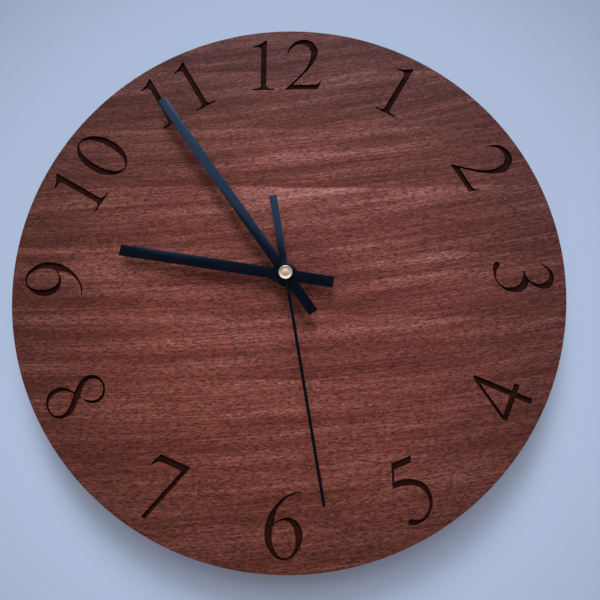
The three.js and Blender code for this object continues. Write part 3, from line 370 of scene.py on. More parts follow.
@functools.cache
def routed_sapele():
    # Sapele left raw by the router: paler, dry and matt, with fuzzy fibres
    material, tree, mm = start("sapele_routed")
    tone, pores = sapele_grain(tree, mm)
    colour = ramp(tree, tone, (0.1, "#7d5347"), (0.9, "#b98b78"))
    rough = remap(tree, pores, 0.0, 1.0, 0.8, 0.95)
    return shaded(material, tree, colour, rough, {"Normal": bump(tree, tone, 0.6, 0.15)})


@functools.cache
def turned_brass():
    # Brass turned on a lathe: warm and pale, with fine rings around the hand axis and faint tarnish.
    # The rings are drawn coarser than a tool leaves them, so that they show
    material, tree, mm = start("brass_turned")
    ring_step = 0.35
    radius = measure(tree, "LENGTH", stretched(tree, mm, ONTO_DIAL))
    rings = calc(tree, "SINE", calc(tree, "MULTIPLY", radius, 2 * math.pi / ring_step))
    cloud = noise(tree, mm, 1 / 1.2, 4.0, 0.65)[0]
    colour = ramp(tree, cloud, (0.3, "#c2a288"), (0.62, "#dcc3ad"))
    return shaded(material, tree, colour, remap(tree, cloud, 0.35, 0.65, 0.34, 0.26), {
        "Metallic": 1.0, "Normal": bump(tree, rings, 0.3, 0.006)})


@functools.cache
def black_lacquer(lean=0.0):
    # Aluminium sprayed with black lacquer: a smooth coat that mirrors the lamps, with its reflections painted
    # a cold blue by the specular tint as a painted reflection colour.
    # A blade leans a little on its tube, which tilts what it mirrors: lean is its slope towards the front
    # at the top
    material, tree, mm = start("black_lacquer_sprayed")
    peel = noise(tree, mm, 1 / 0.8, 2.0)[0]
    colour = ramp(tree, peel, (0.35, "#030303"), (0.65, "#070708"))
    height = add(tree, "ShaderNodeSeparateXYZ", {0: mm}).outputs["Z"]
    relief = calc(tree, "MULTIPLY_ADD", height, lean, calc(tree, "MULTIPLY", peel, 0.0003))
    # The specular tint paints the blade's reflections a cold blue: a painted reflection colour
    return shaded(material, tree, colour, remap(tree, peel, 0.35, 0.65, 0.15, 0.2), {
        "Specular IOR Level": 0.3, "Specular Tint": (0.3, 0.54, 1.0, 1.0),
        "Normal": bump(tree, relief, 1.0, 1)})


@functools.cache
def cell_sleeve():
    # Printed shrink film over a cell's can: glossy, slate blue with a copper line and a pale band at the
    # positive end
    material, tree, mm = start("cell_sleeve_film")
    half_length = 25.0
    along = add(tree, "ShaderNodeSeparateXYZ", {0: mm}).outputs["X"]
    cloud = noise(tree, mm, 1 / 0.7, 2.0)[0]
    print_bands = ramp(tree, remap(tree, along, -half_length, half_length),
                       (0.0, "#46586a"), (0.72, "#b98a5c"), (0.735, "#cbcdc9"), interpolation="CONSTANT")
    ink = remap(tree, cloud, 0.35, 0.65, 0.93, 1.0)
    colour = blend(tree, 1.0, print_bands, ink, blend_type="MULTIPLY")
    return shaded(material, tree, colour, remap(tree, cloud, 0.35, 0.65, 0.24, 0.34), {"IOR": 1.5})


# Finishes with an even mottle: dark and pale colour, grain in mm, least and most roughness, metallic,
# specular level and depth of the relief in mm
MOTTLED = {
    # Steel plated with zinc: cool grey with cloudy passivation
    "steel_zinc_plated": ("#a6acb0", "#c8cccb", 2.5, 0.3, 0.46, 1.0, 0.5, 0.006),
    # Brass as rolled and cut: dull gold, slightly tarnished, and painted darker as painted shade, since it
    # lies in the shadow of the hands
    "brass_rolled_shaded": ("#5c4424", "#8a6a3c", 1.5, 0.14, 0.26, 1.0, 0.5, 0.004),
    # Spring steel plated with nickel: bright and slightly warm
    "nickel_plated": ("#b3aea4", "#d4cfc4", 1.5, 0.18, 0.3, 1.0, 0.5, 0.003),
    # ABS moulded in a spark-eroded tool: near black, satin, with a fine even grain
    "abs_moulded_black": ("#1b1b1d", "#28282b", 0.3, 0.48, 0.62, 0.0, 0.5, 0.02),
    # Rubber moulded and dusted: soft black, dull
    "rubber_moulded": ("#121212", "#1e1d1c", 0.5, 0.78, 0.9, 0.0, 0.4, 0.02),
    # Acetal moulded: milky white, waxy
    "acetal_moulded": ("#d8d3c4", "#ece8dc", 1.2, 0.34, 0.45, 0.0, 0.5, 0.004),
    # Copper wire with enamel: red gold with a varnish gloss
    "copper_enamelled": ("#8c3f1e", "#b5622f", 1.0, 0.25, 0.36, 1.0, 0.5, 0.002),
    # Paper laminate with resin: tan and slightly fibrous
    "laminate_pressed": ("#7a5a2e", "#9b7a45", 0.4, 0.5, 0.65, 0.0, 0.5, 0.008),
    # Epoxy cast over a chip: black and glossy, flowed smooth
    "epoxy_cast": ("#0a0a0b", "#141415", 2.0, 0.15, 0.25, 0.0, 0.5, 0.01),
    # Magnet sintered and ground: dark grey metal, slightly granular
    "magnet_sintered": ("#2c2c2f", "#45464a", 0.15, 0.45, 0.6, 1.0, 0.5, 0.006),
}


@functools.cache
def mottled(name):
    """Material with one of the even finishes."""
    dark, pale, grain, least, most, metallic, specular, depth = MOTTLED[name]
    material, tree, mm = start(name)
    cloud = noise(tree, mm, 1 / grain, 3.0, 0.6)[0]
    low, high = 0.32, 0.68
    colour = ramp(tree, cloud, (low, dark), (high, pale))
    return shaded(material, tree, colour, remap(tree, cloud, low, high, least, most), {
        "Metallic": metallic, "Specular IOR Level": specular, "Normal": bump(tree, cloud, 0.5, depth)})


# Shapes

def middle(node):
    """Centre of a node's box."""
    low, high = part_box(node)
    return (low + high) / 2


def outline(node):
    """Left, bottom, right and top of a node's box, in millimetres."""
    low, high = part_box(node)
    return [v / MM for v in (low.x, low.z, high.x, high.z)]


def new_object(name, data):
    """Put data into the scene as an object at the origin."""
    obj = bpy.data.objects.new(name, data)
    bpy.context.scene.collection.objects.link(obj)
    return obj


def from_bmesh(name, bm):
    """Object from a closed shape whose faces are turned outwards."""
    bmesh.ops.recalc_face_normals(bm, faces=bm.faces)
    mesh = bpy.data.meshes.new(name)
    bm.to_mesh(mesh)
    bm.free()
    return new_object(name, mesh)


def welded(mesh):
    """Shape of a mesh, with the points that lie together made one."""
    bm = bmesh.new()
    bm.from_mesh(mesh)
    bmesh.ops.remove_doubles(bm, verts=bm.verts, dist=WELD)
    return bm


def plain_mesh(obj):
    """What an object shows, as a mesh of its own."""
    bpy.context.view_layer.update()
    depsgraph = bpy.context.evaluated_depsgraph_get()
    return bpy.data.meshes.new_from_object(obj.evaluated_get(depsgraph), depsgraph=depsgraph)


def baked(obj):
    """Replace an object's mesh and modifiers by what they show."""
    mesh = plain_mesh(obj)
    obj.modifiers.clear()
    obj.data = mesh
    return obj


def metres(profile):
    """Profile in millimetres as one in metres."""
    return [(radius * MM, y * MM) for radius, y in profile]


def turned(name, profile, steps=96, axis=(0.0, 0.0), capped=False, bands=()):
    """Turn a profile of (radius, y) points about the Y direction through axis (x, z)."""
    bm = bmesh.new()
    rings = []
    for radius, y in profile:
        angles = [2 * math.pi * i / steps for i in range(steps if radius else 1)]
        rings.append([bm.verts.new((axis[0] + radius * math.cos(a), y, axis[1] + radius * math.sin(a)))
                      for a in angles])
    pairs = list(zip(rings, rings[1:]))
    if capped:
        bm.faces.new(rings[0])
        bm.faces.new(rings[-1])
    elif len(rings[0]) > 1:
        pairs.append((rings[-1], rings[0]))
    for number, (one, two) in enumerate(pairs):
        for i in range(steps if len(one) + len(two) > 2 else 0):
            j = (i + 1) % steps
            corners = one[i % len(one)], one[j % len(one)], two[j % len(two)], two[i % len(two)]
            face = bm.faces.new(tuple(dict.fromkeys(corners)))
            face.material_index = bands[number] if bands else 0
    return from_bmesh(name, bm)


def polar(x, z, radius, angle):
    """Point at a distance and angle from a centre, in millimetres."""
    return x + radius * math.cos(angle), z + radius * math.sin(angle)


def arc(x, z, radius, first, sweep, count):
    """Points along an arc, in millimetres."""
    return [polar(x, z, radius, first + sweep * i / count) for i in range(count + 1)]


def circle(x, z, radius, count=48):
    """Round loop in millimetres."""
    return arc(x, z, radius, 0.0, 2 * math.pi, count)[:-1]


def rounded(left, low, right, high, radius, count=8):
    """Rectangular loop with round corners, in millimetres.

    The radius is a little under half of the shorter side at most, so that no two points lie together.
    """
    left, low, right, high = left + radius, low + radius, right - radius, high - radius
    quarter = math.pi / 2
    corners = enumerate(((right, high), (left, high), (left, low), (right, low)))
    return [point for i, (x, z) in corners for point in arc(x, z, radius, quarter * i, quarter, count)]


def pressed(name, loops, back, front, edge=0.0):
    """Fill flat loops in millimetres and raise them from y = back to y = front, with rounded edges.

    A point of a loop is sharp unless its kind is given.
    """
    curve = bpy.data.curves.new(name, "CURVE")
    curve.dimensions = "2D"
    curve.fill_mode = "BOTH"
    curve.resolution_u = 6
    curve.extrude = abs(front - back) / MM / 2 - edge / MM
    curve.bevel_depth = edge / MM
    curve.bevel_resolution = 2
    curve.offset = -edge / MM
    for loop in loops:
        spline = curve.splines.new("BEZIER")
        spline.bezier_points.add(len(loop) - 1)
        spline.use_cyclic_u = True
        for point, (x, z, *kind) in zip(spline.bezier_points, loop):
            point.co = (x, z, 0.0)
            point.handle_left_type = point.handle_right_type = kind[0] if kind else SHARP
    drawn = new_object(name, curve)
    mesh = plain_mesh(drawn)
    bpy.data.objects.remove(drawn)
    mesh.transform(Matrix(((MM, 0, 0, 0), (0, 0, -MM, (back + front) / 2), (0, MM, 0, 0), (0, 0, 0, 1))))
    bm = welded(mesh)
    bpy.data.meshes.remove(mesh)
    return from_bmesh(name, bm)


def softened(name, node, edge, angle=40):
    """Copy of a node's mesh, welded, with its edges rounded."""
    bm = welded(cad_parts[node].data)
    bmesh.ops.dissolve_limit(bm, angle_limit=math.radians(1), verts=bm.verts, edges=bm.edges)
    obj = from_bmesh(name, bm)
    bevel = obj.modifiers.new("edge", "BEVEL")
    bevel.width = edge
    bevel.segments = 2
    bevel.limit_method = "ANGLE"
    bevel.angle_limit = math.radians(angle)
    return baked(obj)


def carve(obj, cutter, finish=None):
    """Cut one object out of another. The cut faces take the cutter's finish."""
    if finish:
        cutter.data.materials.append(finish)
    modifier = obj.modifiers.new("cut", "BOOLEAN")
    modifier.object = cutter
    modifier.operation = "DIFFERENCE"
    modifier.solver = "EXACT"
    modifier.material_mode = "TRANSFER"
    baked(obj)
    bpy.data.objects.remove(cutter)


def joined(name, *objects):
    """One object from several."""
    with bpy.context.temp_override(active_object=objects[0], selected_editable_objects=list(objects)):
        bpy.ops.object.join()
    objects[0].name = name
    return objects[0]


def new_tree(name, **inputs):
    """Geometry tree with named inputs: itself and the outputs of its input node."""
    tree = bpy.data.node_groups.new(name, "GeometryNodeTree")
    for label, kind in inputs.items():
        tree.interface.new_socket(name=label, in_out="INPUT", socket_type=f"NodeSocket{kind}")
    tree.interface.new_socket(name="Geometry", in_out="OUTPUT", socket_type="NodeSocketGeometry")
    return tree, add(tree, "NodeGroupInput").outputs


def grown(name, tree, geometry, values):
    """End a tree with real geometry, run it, and keep what it makes as a plain mesh."""
    real = add(tree, "GeometryNodeRealizeInstances", {0: geometry})
    add(tree, "NodeGroupOutput", {0: real.outputs[0]})
    obj = new_object(name, bpy.data.meshes.new(name))
    modifier = obj.modifiers.new("tree", "NODES")
    modifier.node_group = tree
    for item in tree.interface.items_tree:
        if item.in_out == "INPUT":
            modifier[item.identifier] = values[item.name]
    return baked(obj)


def fit(obj, finish, body, slot, *nodes, angle=32):
    """Finish and shade a piece, tie it to its body, and hide the nodes that it stands for.

    A piece with several finishes of its own is given None.
    """
    if finish:
        obj.data.materials.clear()
        obj.data.materials.append(finish)
    obj.data.shade_smooth()
    obj.data.set_sharp_from_angle(angle=math.radians(angle))
    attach(obj, body)
    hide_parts(*nodes)


def dress(finish, *nodes):
    """Give CAD nodes a finish."""
    for name in nodes:
        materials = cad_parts[name].data.materials
        materials.clear()
        materials.append(finish)


def screw_shape(head, shank, reach, cone, disc):
    """Screw along -Y from a head at y = 0, with a cross recess: cone and disc are the depths of the head."""
    neck = -cone - disc
    profile = [(0.0, -0.02 * MM), (head * 0.8, -0.02 * MM), (head, -0.08 * MM), (head, -0.1 * MM - disc),
               (shank, neck - 0.05 * MM)]
    pitch = shank * 0.8
    for i in range(int((reach + neck - 2.2 * shank) / pitch)):
        top = neck - 0.3 * MM - i * pitch
        profile += [(shank * 0.75, top), (shank, top - 0.45 * pitch), (shank, top - 0.55 * pitch)]
    profile += [(shank * 0.7, -reach + 1.2 * shank), (0.0, -reach)]
    screw = turned("screw", profile, steps=32)
    wide, deep = head * 0.56, min(1.6 * MM, head * 0.5)
    for turn in (0, 90):
        bm = bmesh.new()
        bmesh.ops.create_cube(bm, size=1.0)
        for vert in bm.verts:
            inner = vert.co.y < 0
            vert.co = Vector((vert.co.x * 2 * wide * (0.45 if inner else 1.0),
                              -deep if inner else 0.2 * MM, vert.co.z * head * (0.16 if inner else 0.24)))
        bmesh.ops.rotate(bm, verts=bm.verts, matrix=Matrix.Rotation(math.radians(turn), 3, "Y"))
        carve(screw, from_bmesh("cross", bm))
    return screw


def screw_row(name, nodes, head, shank, cone, disc):
    """Set one screw at equal steps in place of the nodes."""
    low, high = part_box(nodes[0])
    screw = screw_shape(head, shank, high.y - low.y, cone, disc)
    screw.data.transform(Matrix.Translation((0, high.y, 0)))
    first, second = (middle(node) for node in nodes)
    tree, inputs = new_tree("screw_row", Screw="Object", Count="Int", First="Vector", Step="Vector")
    line = add(tree, "GeometryNodeMeshLine", {
        "Count": inputs["Count"], "Start Location": inputs["First"], "Offset": inputs["Step"]})
    shape = add(tree, "GeometryNodeObjectInfo", {"Object": inputs["Screw"]})
    row = add(tree, "GeometryNodeInstanceOnPoints", {
        "Points": line.outputs[0], "Instance": shape.outputs["Geometry"]})
    screws = grown(name, tree, row.outputs[0], {
        "Screw": screw, "Count": len(nodes), "First": (first.x, 0.0, first.z),
        "Step": (second.x - first.x, 0.0, second.z - first.z)})
    bpy.data.objects.remove(screw)
    fit(screws, mottled("steel_zinc_plated"), FIXED, "steel", *nodes)


# Pieces

class CLOCK_OT_dial_board(bpy.types.Operator):
    """Turn the board, cut the figures into its face, and rout its back for the movement and the hanger"""
    bl_idname = "clock.dial_board"
    bl_label = "Dial Board"

    def execute(self, context):
        dial = context.scene.wall_clock.dial
        low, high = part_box("wooden_dial")
        radius = (high.x - low.x) / 2
        edge, chamfer = dial.edge_round, dial.back_chamfer
        front_round = [(radius - edge * (1 - math.cos(a)), FACE + edge * (1 - math.sin(a)))
                       for a in (math.pi / 16 * i for i in range(9))]
        profile = [(radius - chamfer - MM, high.y), (radius - chamfer, high.y), (radius, high.y - chamfer),
                   *front_round, (radius - edge - MM, FACE)]
        board = turned("dial_board", profile, steps=256, capped=True)
        board.data.materials.append(oiled_sapele())
        carve(board, self.figures(dial), burnt_sapele())
        self.rout(board, dial)
        fit(board, None, FIXED, "sapele", "wooden_dial")
        return {"FINISHED"}

    def figures(self, dial):
        """Cutter with all twelve figures, each turned and moved to its place on the ring."""
        loops = []
        ring = dial.figure_ring / MM
        for hour, (glyphs, turn) in HOURS.items():
            place = math.radians(30 * hour)
            turn = math.radians(turn)
            cos, sin = math.cos(turn), math.sin(turn)
            for glyph, offset in glyphs:
                loops += [[(ring * math.sin(place) + (x + offset) * cos + y * sin,
                            ring * math.cos(place) - (x + offset) * sin + y * cos, *(kind or [SMOOTH]))
                           for x, y, *kind in loop] for loop in FIGURES[glyph]]
        return pressed("figures", loops, FACE + dial.figure_depth, FACE - dial.figure_depth)

    def rout(self, board, dial):
        """Pocket, bore, hanger recess, room for the wall screw's head, and pilot holes."""
        raw = routed_sapele()
        past = 1 * MM
        room, play, head, pilot = 2, 0.3, 4.55, 1.8 * MM
        left, low, right, high = outline("front_case")
        pocket = rounded(left - room, low - room, right + room, high + room, 6)
        left, low, right, high = outline("hanger_plate")
        recess = rounded(left - play, low - play, right + play, high + play,
                         (high - low) / 2 + play - 1e-3, 16)
        centre, reach = (low + high) / 2, KEYHOLE_REACH + head
        head_room = rounded(-head, centre - reach, head, centre + reach, head - 1e-4)
        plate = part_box("hanger_plate")[0].y
        for name, loop, depth in (
                ("pocket", pocket, FACE + dial.web), ("bore", circle(0, 0, BUSH_HOLE), FACE - past),
                ("recess", recess, plate - SEAT), ("head_room", head_room, plate - 7 * MM)):
            carve(board, pressed(name, [loop], past, depth), raw)
        for screw in HANGER_SCREWS:
            tip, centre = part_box(screw)[0].y, middle(screw)
            profile = [(0.0, past), (pilot, past), (pilot, tip + 1 * MM), (0.0, tip - ENTRY)]
            carve(board, turned("pilot", profile, steps=32, axis=(centre.x, centre.z)), raw)


class CLOCK_OT_hands(bpy.types.Operator):
    """Press the three hands, and turn their collars and the brass ferrule"""
    bl_idname = "clock.hands"
    bl_label = "Hands"

    def execute(self, context):
        hands = context.scene.wall_clock.hands
        plans = (
            ("hour", HOUR, hands.hour_width, 91.0, 25.5, 6.2, 2.6, 278.9, 0.045),
            ("minute", MINUTE, hands.minute_width, 124.0, 25.2, 5.5, 1.7, 324.9, 0.04),
        )
        for name, body, width, reach, tail, boss, bore, angle, lean in plans:
            half = width / MM / 2
            meet = math.asin(half / boss)
            sweep = math.pi - 2 * meet
            loop = [(half, reach), (-half, reach), *arc(0, 0, boss, math.pi / 2 + meet, sweep, 24),
                    (-half, -tail), (half, -tail), *arc(0, 0, boss, -math.pi / 2 + meet, sweep, 24)]
            self.blade(name, [loop, circle(0, 0, bore)], body, angle, hands.edge, lean)
            self.collar(name, body, bore * MM)
        half, tail_half, hub, hole = hands.second_width / MM / 2, 2.0, 4.1, 1.8
        root, reach, neck, tail = 4.02, 117.5, -9.0, -43.3
        left, right, sweep = (math.radians(a) for a in (102, -69, 147))
        loop = [(half, root), (half, reach), (-half, reach), (-half, root), *arc(0, 0, hub, left, sweep, 20),
                (-tail_half, neck), (-tail_half, tail), (tail_half, tail), (tail_half, neck),
                *arc(0, 0, hub, right, sweep, 20)]
        self.blade("second", [loop, circle(0, 0, hole)], SECOND, 170.5, hands.edge, -0.012)
        self.ferrule()
        return {"FINISHED"}

    def blade(self, name, loops, body, angle, edge, lean):
        """Hand pressed from sheet and turned clockwise to where its node stands."""
        low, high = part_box(f"{name}_hand")
        blade = pressed(f"{name}_blade", loops, high.y, low.y, edge)
        blade.data.transform(Matrix.Rotation(math.radians(angle), 4, "Y"))
        fit(blade, black_lacquer(lean), body, "black_lacquer", f"{name}_hand", angle=20)

    def collar(self, name, body, bore):
        """Collar that grips the hand's tube."""
        low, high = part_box(f"{name}_hand_collar")
        rim, edge = (high.x - low.x) / 2, 0.15 * MM
        collar = turned(f"{name}_collar", [
            (bore, high.y), (rim - edge, high.y), (rim, high.y - edge), (rim, low.y + edge),
            (rim - edge, low.y), (bore, low.y)], steps=64)
        fit(collar, black_lacquer(), body, "black_lacquer", f"{name}_hand_collar")

    def ferrule(self):
        """Turned head with a raised rim and a faint boss, on a stem that grips the shaft."""
        low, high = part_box("second_hand_ferrule")
        head, front, back = (v / MM for v in ((high.x - low.x) / 2, low.y, high.y))
        bore, stem, neck = 0.7, 1.7, front + 1.2
        ferrule = turned("ferrule", metres([
            (bore, back), (stem, back), (stem, neck), (head - 0.1, neck), (head, neck - 0.1),
            (head, front + 0.3), (head - 0.1, front + 0.1), (head - 0.3, front), (head - 0.6, front + 0.01),
            (head - 0.85, front + 0.07), (head - 1.2, front + 0.1), (1.6, front + 0.1), (1.1, front + 0.06),
            (0.6, front + 0.04), (0.0, front + 0.04), (0.0, neck - 0.6), (bore, neck - 0.6)]))
        fit(ferrule, turned_brass(), SECOND, "brass", "second_hand_ferrule", angle=25)


class CLOCK_OT_central_fixing(bpy.types.Operator):
    """Turn the washer, the nut and the threaded bush that clamp the movement to the board"""
    bl_idname = "clock.central_fixing"
    bl_label = "Central Fixing"

    def execute(self, context):
        # This brass is painted dark as painted shade from the hands above it
        brass = mottled("brass_rolled_shaded")
        low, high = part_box("brass_washer")
        rim, bore, edge = (high.x - low.x) / 2, BUSH_HOLE * MM, 0.12 * MM
        washer = turned("washer", [
            (bore, high.y), (rim - edge, high.y), (rim, high.y - edge), (rim, low.y + edge),
            (rim - edge, low.y), (bore + edge, low.y), (bore, low.y + edge)])
        fit(washer, brass, FIXED, "brass", "brass_washer")
        fit(self.nut(), brass, FIXED, "brass", "hex_nut", angle=20)
        bush = self.bush(context.scene.wall_clock.movement.thread_pitch)
        fit(bush, brass, FIXED, "brass", "threaded_bush", angle=20)
        dress(mottled("rubber_moulded"), "rubber_gasket")
        return {"FINISHED"}

    def nut(self):
        """Hexagon nut, its corners turned off at the front, with a chamfered bore."""
        low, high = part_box("hex_nut")
        flat, bore, edge, chamfer = (high.z - low.z) / 2, BUSH_HOLE * MM, 0.12 * MM, 0.35 * MM
        corner = flat / math.cos(math.pi / 6)
        turned_off = flat + (corner - flat) * 0.15
        steps = 96
        bm = bmesh.new()
        rings = [[] for _ in range(7)]
        for i in range(steps):
            angle = 2 * math.pi * i / steps
            off = (angle + math.pi / 6) % (math.pi / 3) - math.pi / 6
            side = flat / math.cos(math.pi / 6 - abs(off))
            drop = max(0.0, side - flat) * 0.6
            levels = (
                (bore, high.y), (side, high.y), (side, low.y + drop + edge), (side - edge, low.y + drop),
                (min(side, turned_off) - 0.3 * MM, low.y), (bore + chamfer, low.y), (bore, low.y + chamfer))
            for ring, (radius, y) in zip(rings, levels):
                ring.append(bm.verts.new((radius * math.cos(angle), y, radius * math.sin(angle))))
        for one, two in zip(rings, rings[1:] + rings[:1]):
            for i in range(steps):
                j = (i + 1) % steps
                bm.faces.new((one[i], one[j], two[j], two[i]))
        return from_bmesh("nut", bm)

    def bush(self, pitch):
        """Flanged bush with a thread."""
        low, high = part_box("threaded_bush")
        bore, crest, root, lead = 2.7 * MM, 4 * MM, 3.6 * MM, 0.1 * MM
        flange = (high.x - low.x) / 2
        flange_front = high.y - 0.7 * MM
        threads = []
        for i in range(int((flange_front - low.y - 1.2 * MM) / pitch)):
            top = flange_front - 0.9 * MM - i * pitch
            threads += [(root, top), (crest, top - 0.4 * pitch), (crest, top - 0.5 * pitch)]
        return turned("bush", [
            (bore, high.y), (flange, high.y), (flange, flange_front), (root, flange_front), *threads,
            (root, threads[-1][1] - 0.4 * pitch), (root, low.y + lead), (root - lead, low.y), (bore, low.y)],
            steps=64)


class CLOCK_OT_keyhole_hanger(bpy.types.Operator):
    """Press the keyhole plate and set its two countersunk screws"""
    bl_idname = "clock.keyhole_hanger"
    bl_label = "Keyhole Hanger"

    def execute(self, context):
        low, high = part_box("hanger_plate")
        left, bottom, right, top = outline("hanger_plate")
        centre = (bottom + top) / 2
        entry, slot = 4.25, 2.3
        meet = math.asin(slot / entry)
        keyhole = (arc(0, centre - KEYHOLE_REACH, entry, math.pi / 2 + meet, 2 * math.pi - 2 * meet, 32)
                   + arc(0, centre + KEYHOLE_REACH, slot, 0.0, math.pi, 16))
        plate = pressed("keyhole_plate", [
            rounded(left, bottom, right, top, (top - bottom) / 2 - 1e-3, 16), keyhole],
            high.y, low.y, 0.2 * MM)
        wide, narrow = 3.3 * MM, 1.8 * MM
        for screw in HANGER_SCREWS:
            place = middle(screw)
            carve(plate, turned("sink", [
                (0.0, high.y + MM), (wide, high.y + MM), (wide, high.y), (narrow, high.y - (wide - narrow)),
                (narrow, low.y - MM), (0.0, low.y - MM)], axis=(place.x, place.z), steps=48))
        fit(plate, mottled("steel_zinc_plated"), FIXED, "steel", "hanger_plate", angle=20)
        screw_row("hanger_screws", HANGER_SCREWS, 3.0 * MM, 1.5 * MM, 1.5 * MM, 0.0)
        return {"FINISHED"}


class CLOCK_OT_movement_case(bpy.types.Operator):
    """Mould the case, its rear cover and the ribbed setting knob"""
    bl_idname = "clock.movement_case"
    bl_label = "Movement Case"

    def execute(self, context):
        movement = context.scene.wall_clock.movement
        plastic = mottled("abs_moulded_black")
        case = softened("case_front", "front_case", movement.mould_edge)
        fit(case, plastic, FIXED, "black_abs", "front_case", angle=20)
        cover = softened("case_cover", "rear_cover", movement.mould_edge)
        cover = joined("case_cover", cover, *self.setting_marks())
        fit(cover, plastic, FIXED, "black_abs", "rear_cover", angle=20)
        fit(self.knob(movement.knob_ribs), plastic, "setting_knob_body", "black_abs", "setting_knob")
        dress(plastic, "gear_bridge")
        return {"FINISHED"}

    def setting_marks(self):
        """Raised ring and two arrows around the knob, which show how it turns."""
        centre = middle("setting_knob")
        x, z = centre.x / MM, centre.z / MM
        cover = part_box("rear_cover")[1].y
        marks = [[circle(x, z, 6.5, 64), circle(x, z, 6.05, 64)]]
        for heading in (60, 240):
            first, sweep = math.radians(heading), math.radians(70)
            last = first + sweep
            head = [polar(x, z, 8.2, last), polar(x, z, 7.45, last + 0.17), polar(x, z, 6.9, last)]
            marks.append([arc(x, z, 7.75, first, sweep, 16) + head + arc(x, z, 7.25, last, -sweep, 16)])
        return [pressed("mark", loops, cover + 0.3 * MM, cover - 0.3 * MM) for loops in marks]

    def knob(self, count):
        """Dished disc with ribs around it, on the node's own stem and pinion."""
        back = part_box("setting_knob")[1].y / MM
        front, rim, stem_rim = back - 1.5, 5.0, 1.5
        centre = middle("setting_knob")
        bm = welded(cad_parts["setting_knob"].data)
        cut = bmesh.ops.bisect_plane(bm, geom=bm.verts[:] + bm.edges[:] + bm.faces[:], clear_outer=True,
                                     plane_co=(0, (front - 0.05) * MM, 0), plane_no=(0, 1, 0))
        rim_edges = [e for e in cut["geom_cut"] if isinstance(e, bmesh.types.BMEdge)]
        bmesh.ops.contextual_create(bm, geom=rim_edges)
        stem = from_bmesh("stem", bm)
        disc = turned("disc", metres([
            (0.0, back - 0.35), (2.6, back - 0.35), (3.3, back - 0.1), (3.7, back), (4.7, back),
            (rim, back - 0.2), (rim, front + 0.1), (4.9, front), (stem_rim, front), (stem_rim, front - 0.1),
            (0.0, front - 0.1)]), axis=(centre.x, centre.z), steps=72)
        tree, inputs = new_tree("knob_ribs", Ribs="Int", Ring="Float", Rib="Float", Height="Float")
        ring = add(tree, "GeometryNodeMeshCircle", {"Vertices": inputs["Ribs"], "Radius": inputs["Ring"]})
        rib = add(tree, "GeometryNodeMeshCylinder", {
            "Vertices": 12, "Radius": inputs["Rib"], "Depth": inputs["Height"]})
        row = add(tree, "GeometryNodeInstanceOnPoints", {
            "Points": ring.outputs[0], "Instance": rib.outputs[0]})
        ribs = grown("ribs", tree, row.outputs[0], {
            "Ribs": count, "Ring": rim * MM, "Rib": 0.45 * MM, "Height": 1.2 * MM})
        ribs.data.transform(Matrix.Translation((centre.x, (back + front) / 2 * MM, centre.z))
                            @ Matrix.Rotation(math.pi / 2, 4, "X"))
        return joined("knob", disc, ribs, stem)


class CLOCK_OT_cell_and_contacts(bpy.types.Operator):
    """Form the AA cell with its film sleeve, and the two leaf contacts"""
    bl_idname = "clock.cell_and_contacts"
    bl_label = "Cell and Contacts"

    def execute(self, context):
        low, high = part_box("cell")
        half, radius = (high.x - low.x) / 2 / MM, (high.y - low.y) / 2 / MM
        shoulder = half - 1.2
        metal = [(0.0, -half + 0.05), (4.6, -half + 0.05), (4.9, -half + 0.3), (5.9, -half + 0.35)]
        film = [(6.0, -half + 0.1), (6.3, -half), (radius - 0.35, -half + 0.02), (radius - 0.1, -half + 0.15),
                (radius, -half + 0.45), (radius, shoulder - 0.45), (radius - 0.1, shoulder - 0.15),
                (radius - 0.35, shoulder - 0.02), (6.3, shoulder), (6.0, shoulder - 0.1)]
        cap = [(5.8, shoulder - 0.4), (3.4, shoulder - 0.4), (2.9, shoulder - 0.25), (2.7, shoulder),
               (2.7, half - 0.3), (2.5, half - 0.06), (2.2, half), (0.0, half)]
        bands = [1] * len(metal) + [0] * (len(film) - 1) + [1] * len(cap)
        cell = turned("aa_cell", metres(metal + film + cap), steps=72, bands=bands)
        cell.data.transform(Matrix.Translation(middle("cell")) @ Matrix.Rotation(-math.pi / 2, 4, "Z"))
        nickel = mottled("nickel_plated")
        for finish in (cell_sleeve(), nickel):
            cell.data.materials.append(finish)
        fit(cell, None, FIXED, "cell_jacket", "cell")
        for side in ("positive", "negative"):
            leaf = softened(f"{side}_leaf", f"{side}_contact", 0.08 * MM, angle=50)
            fit(leaf, nickel, FIXED, "steel", f"{side}_contact", angle=20)
        return {"FINISHED"}


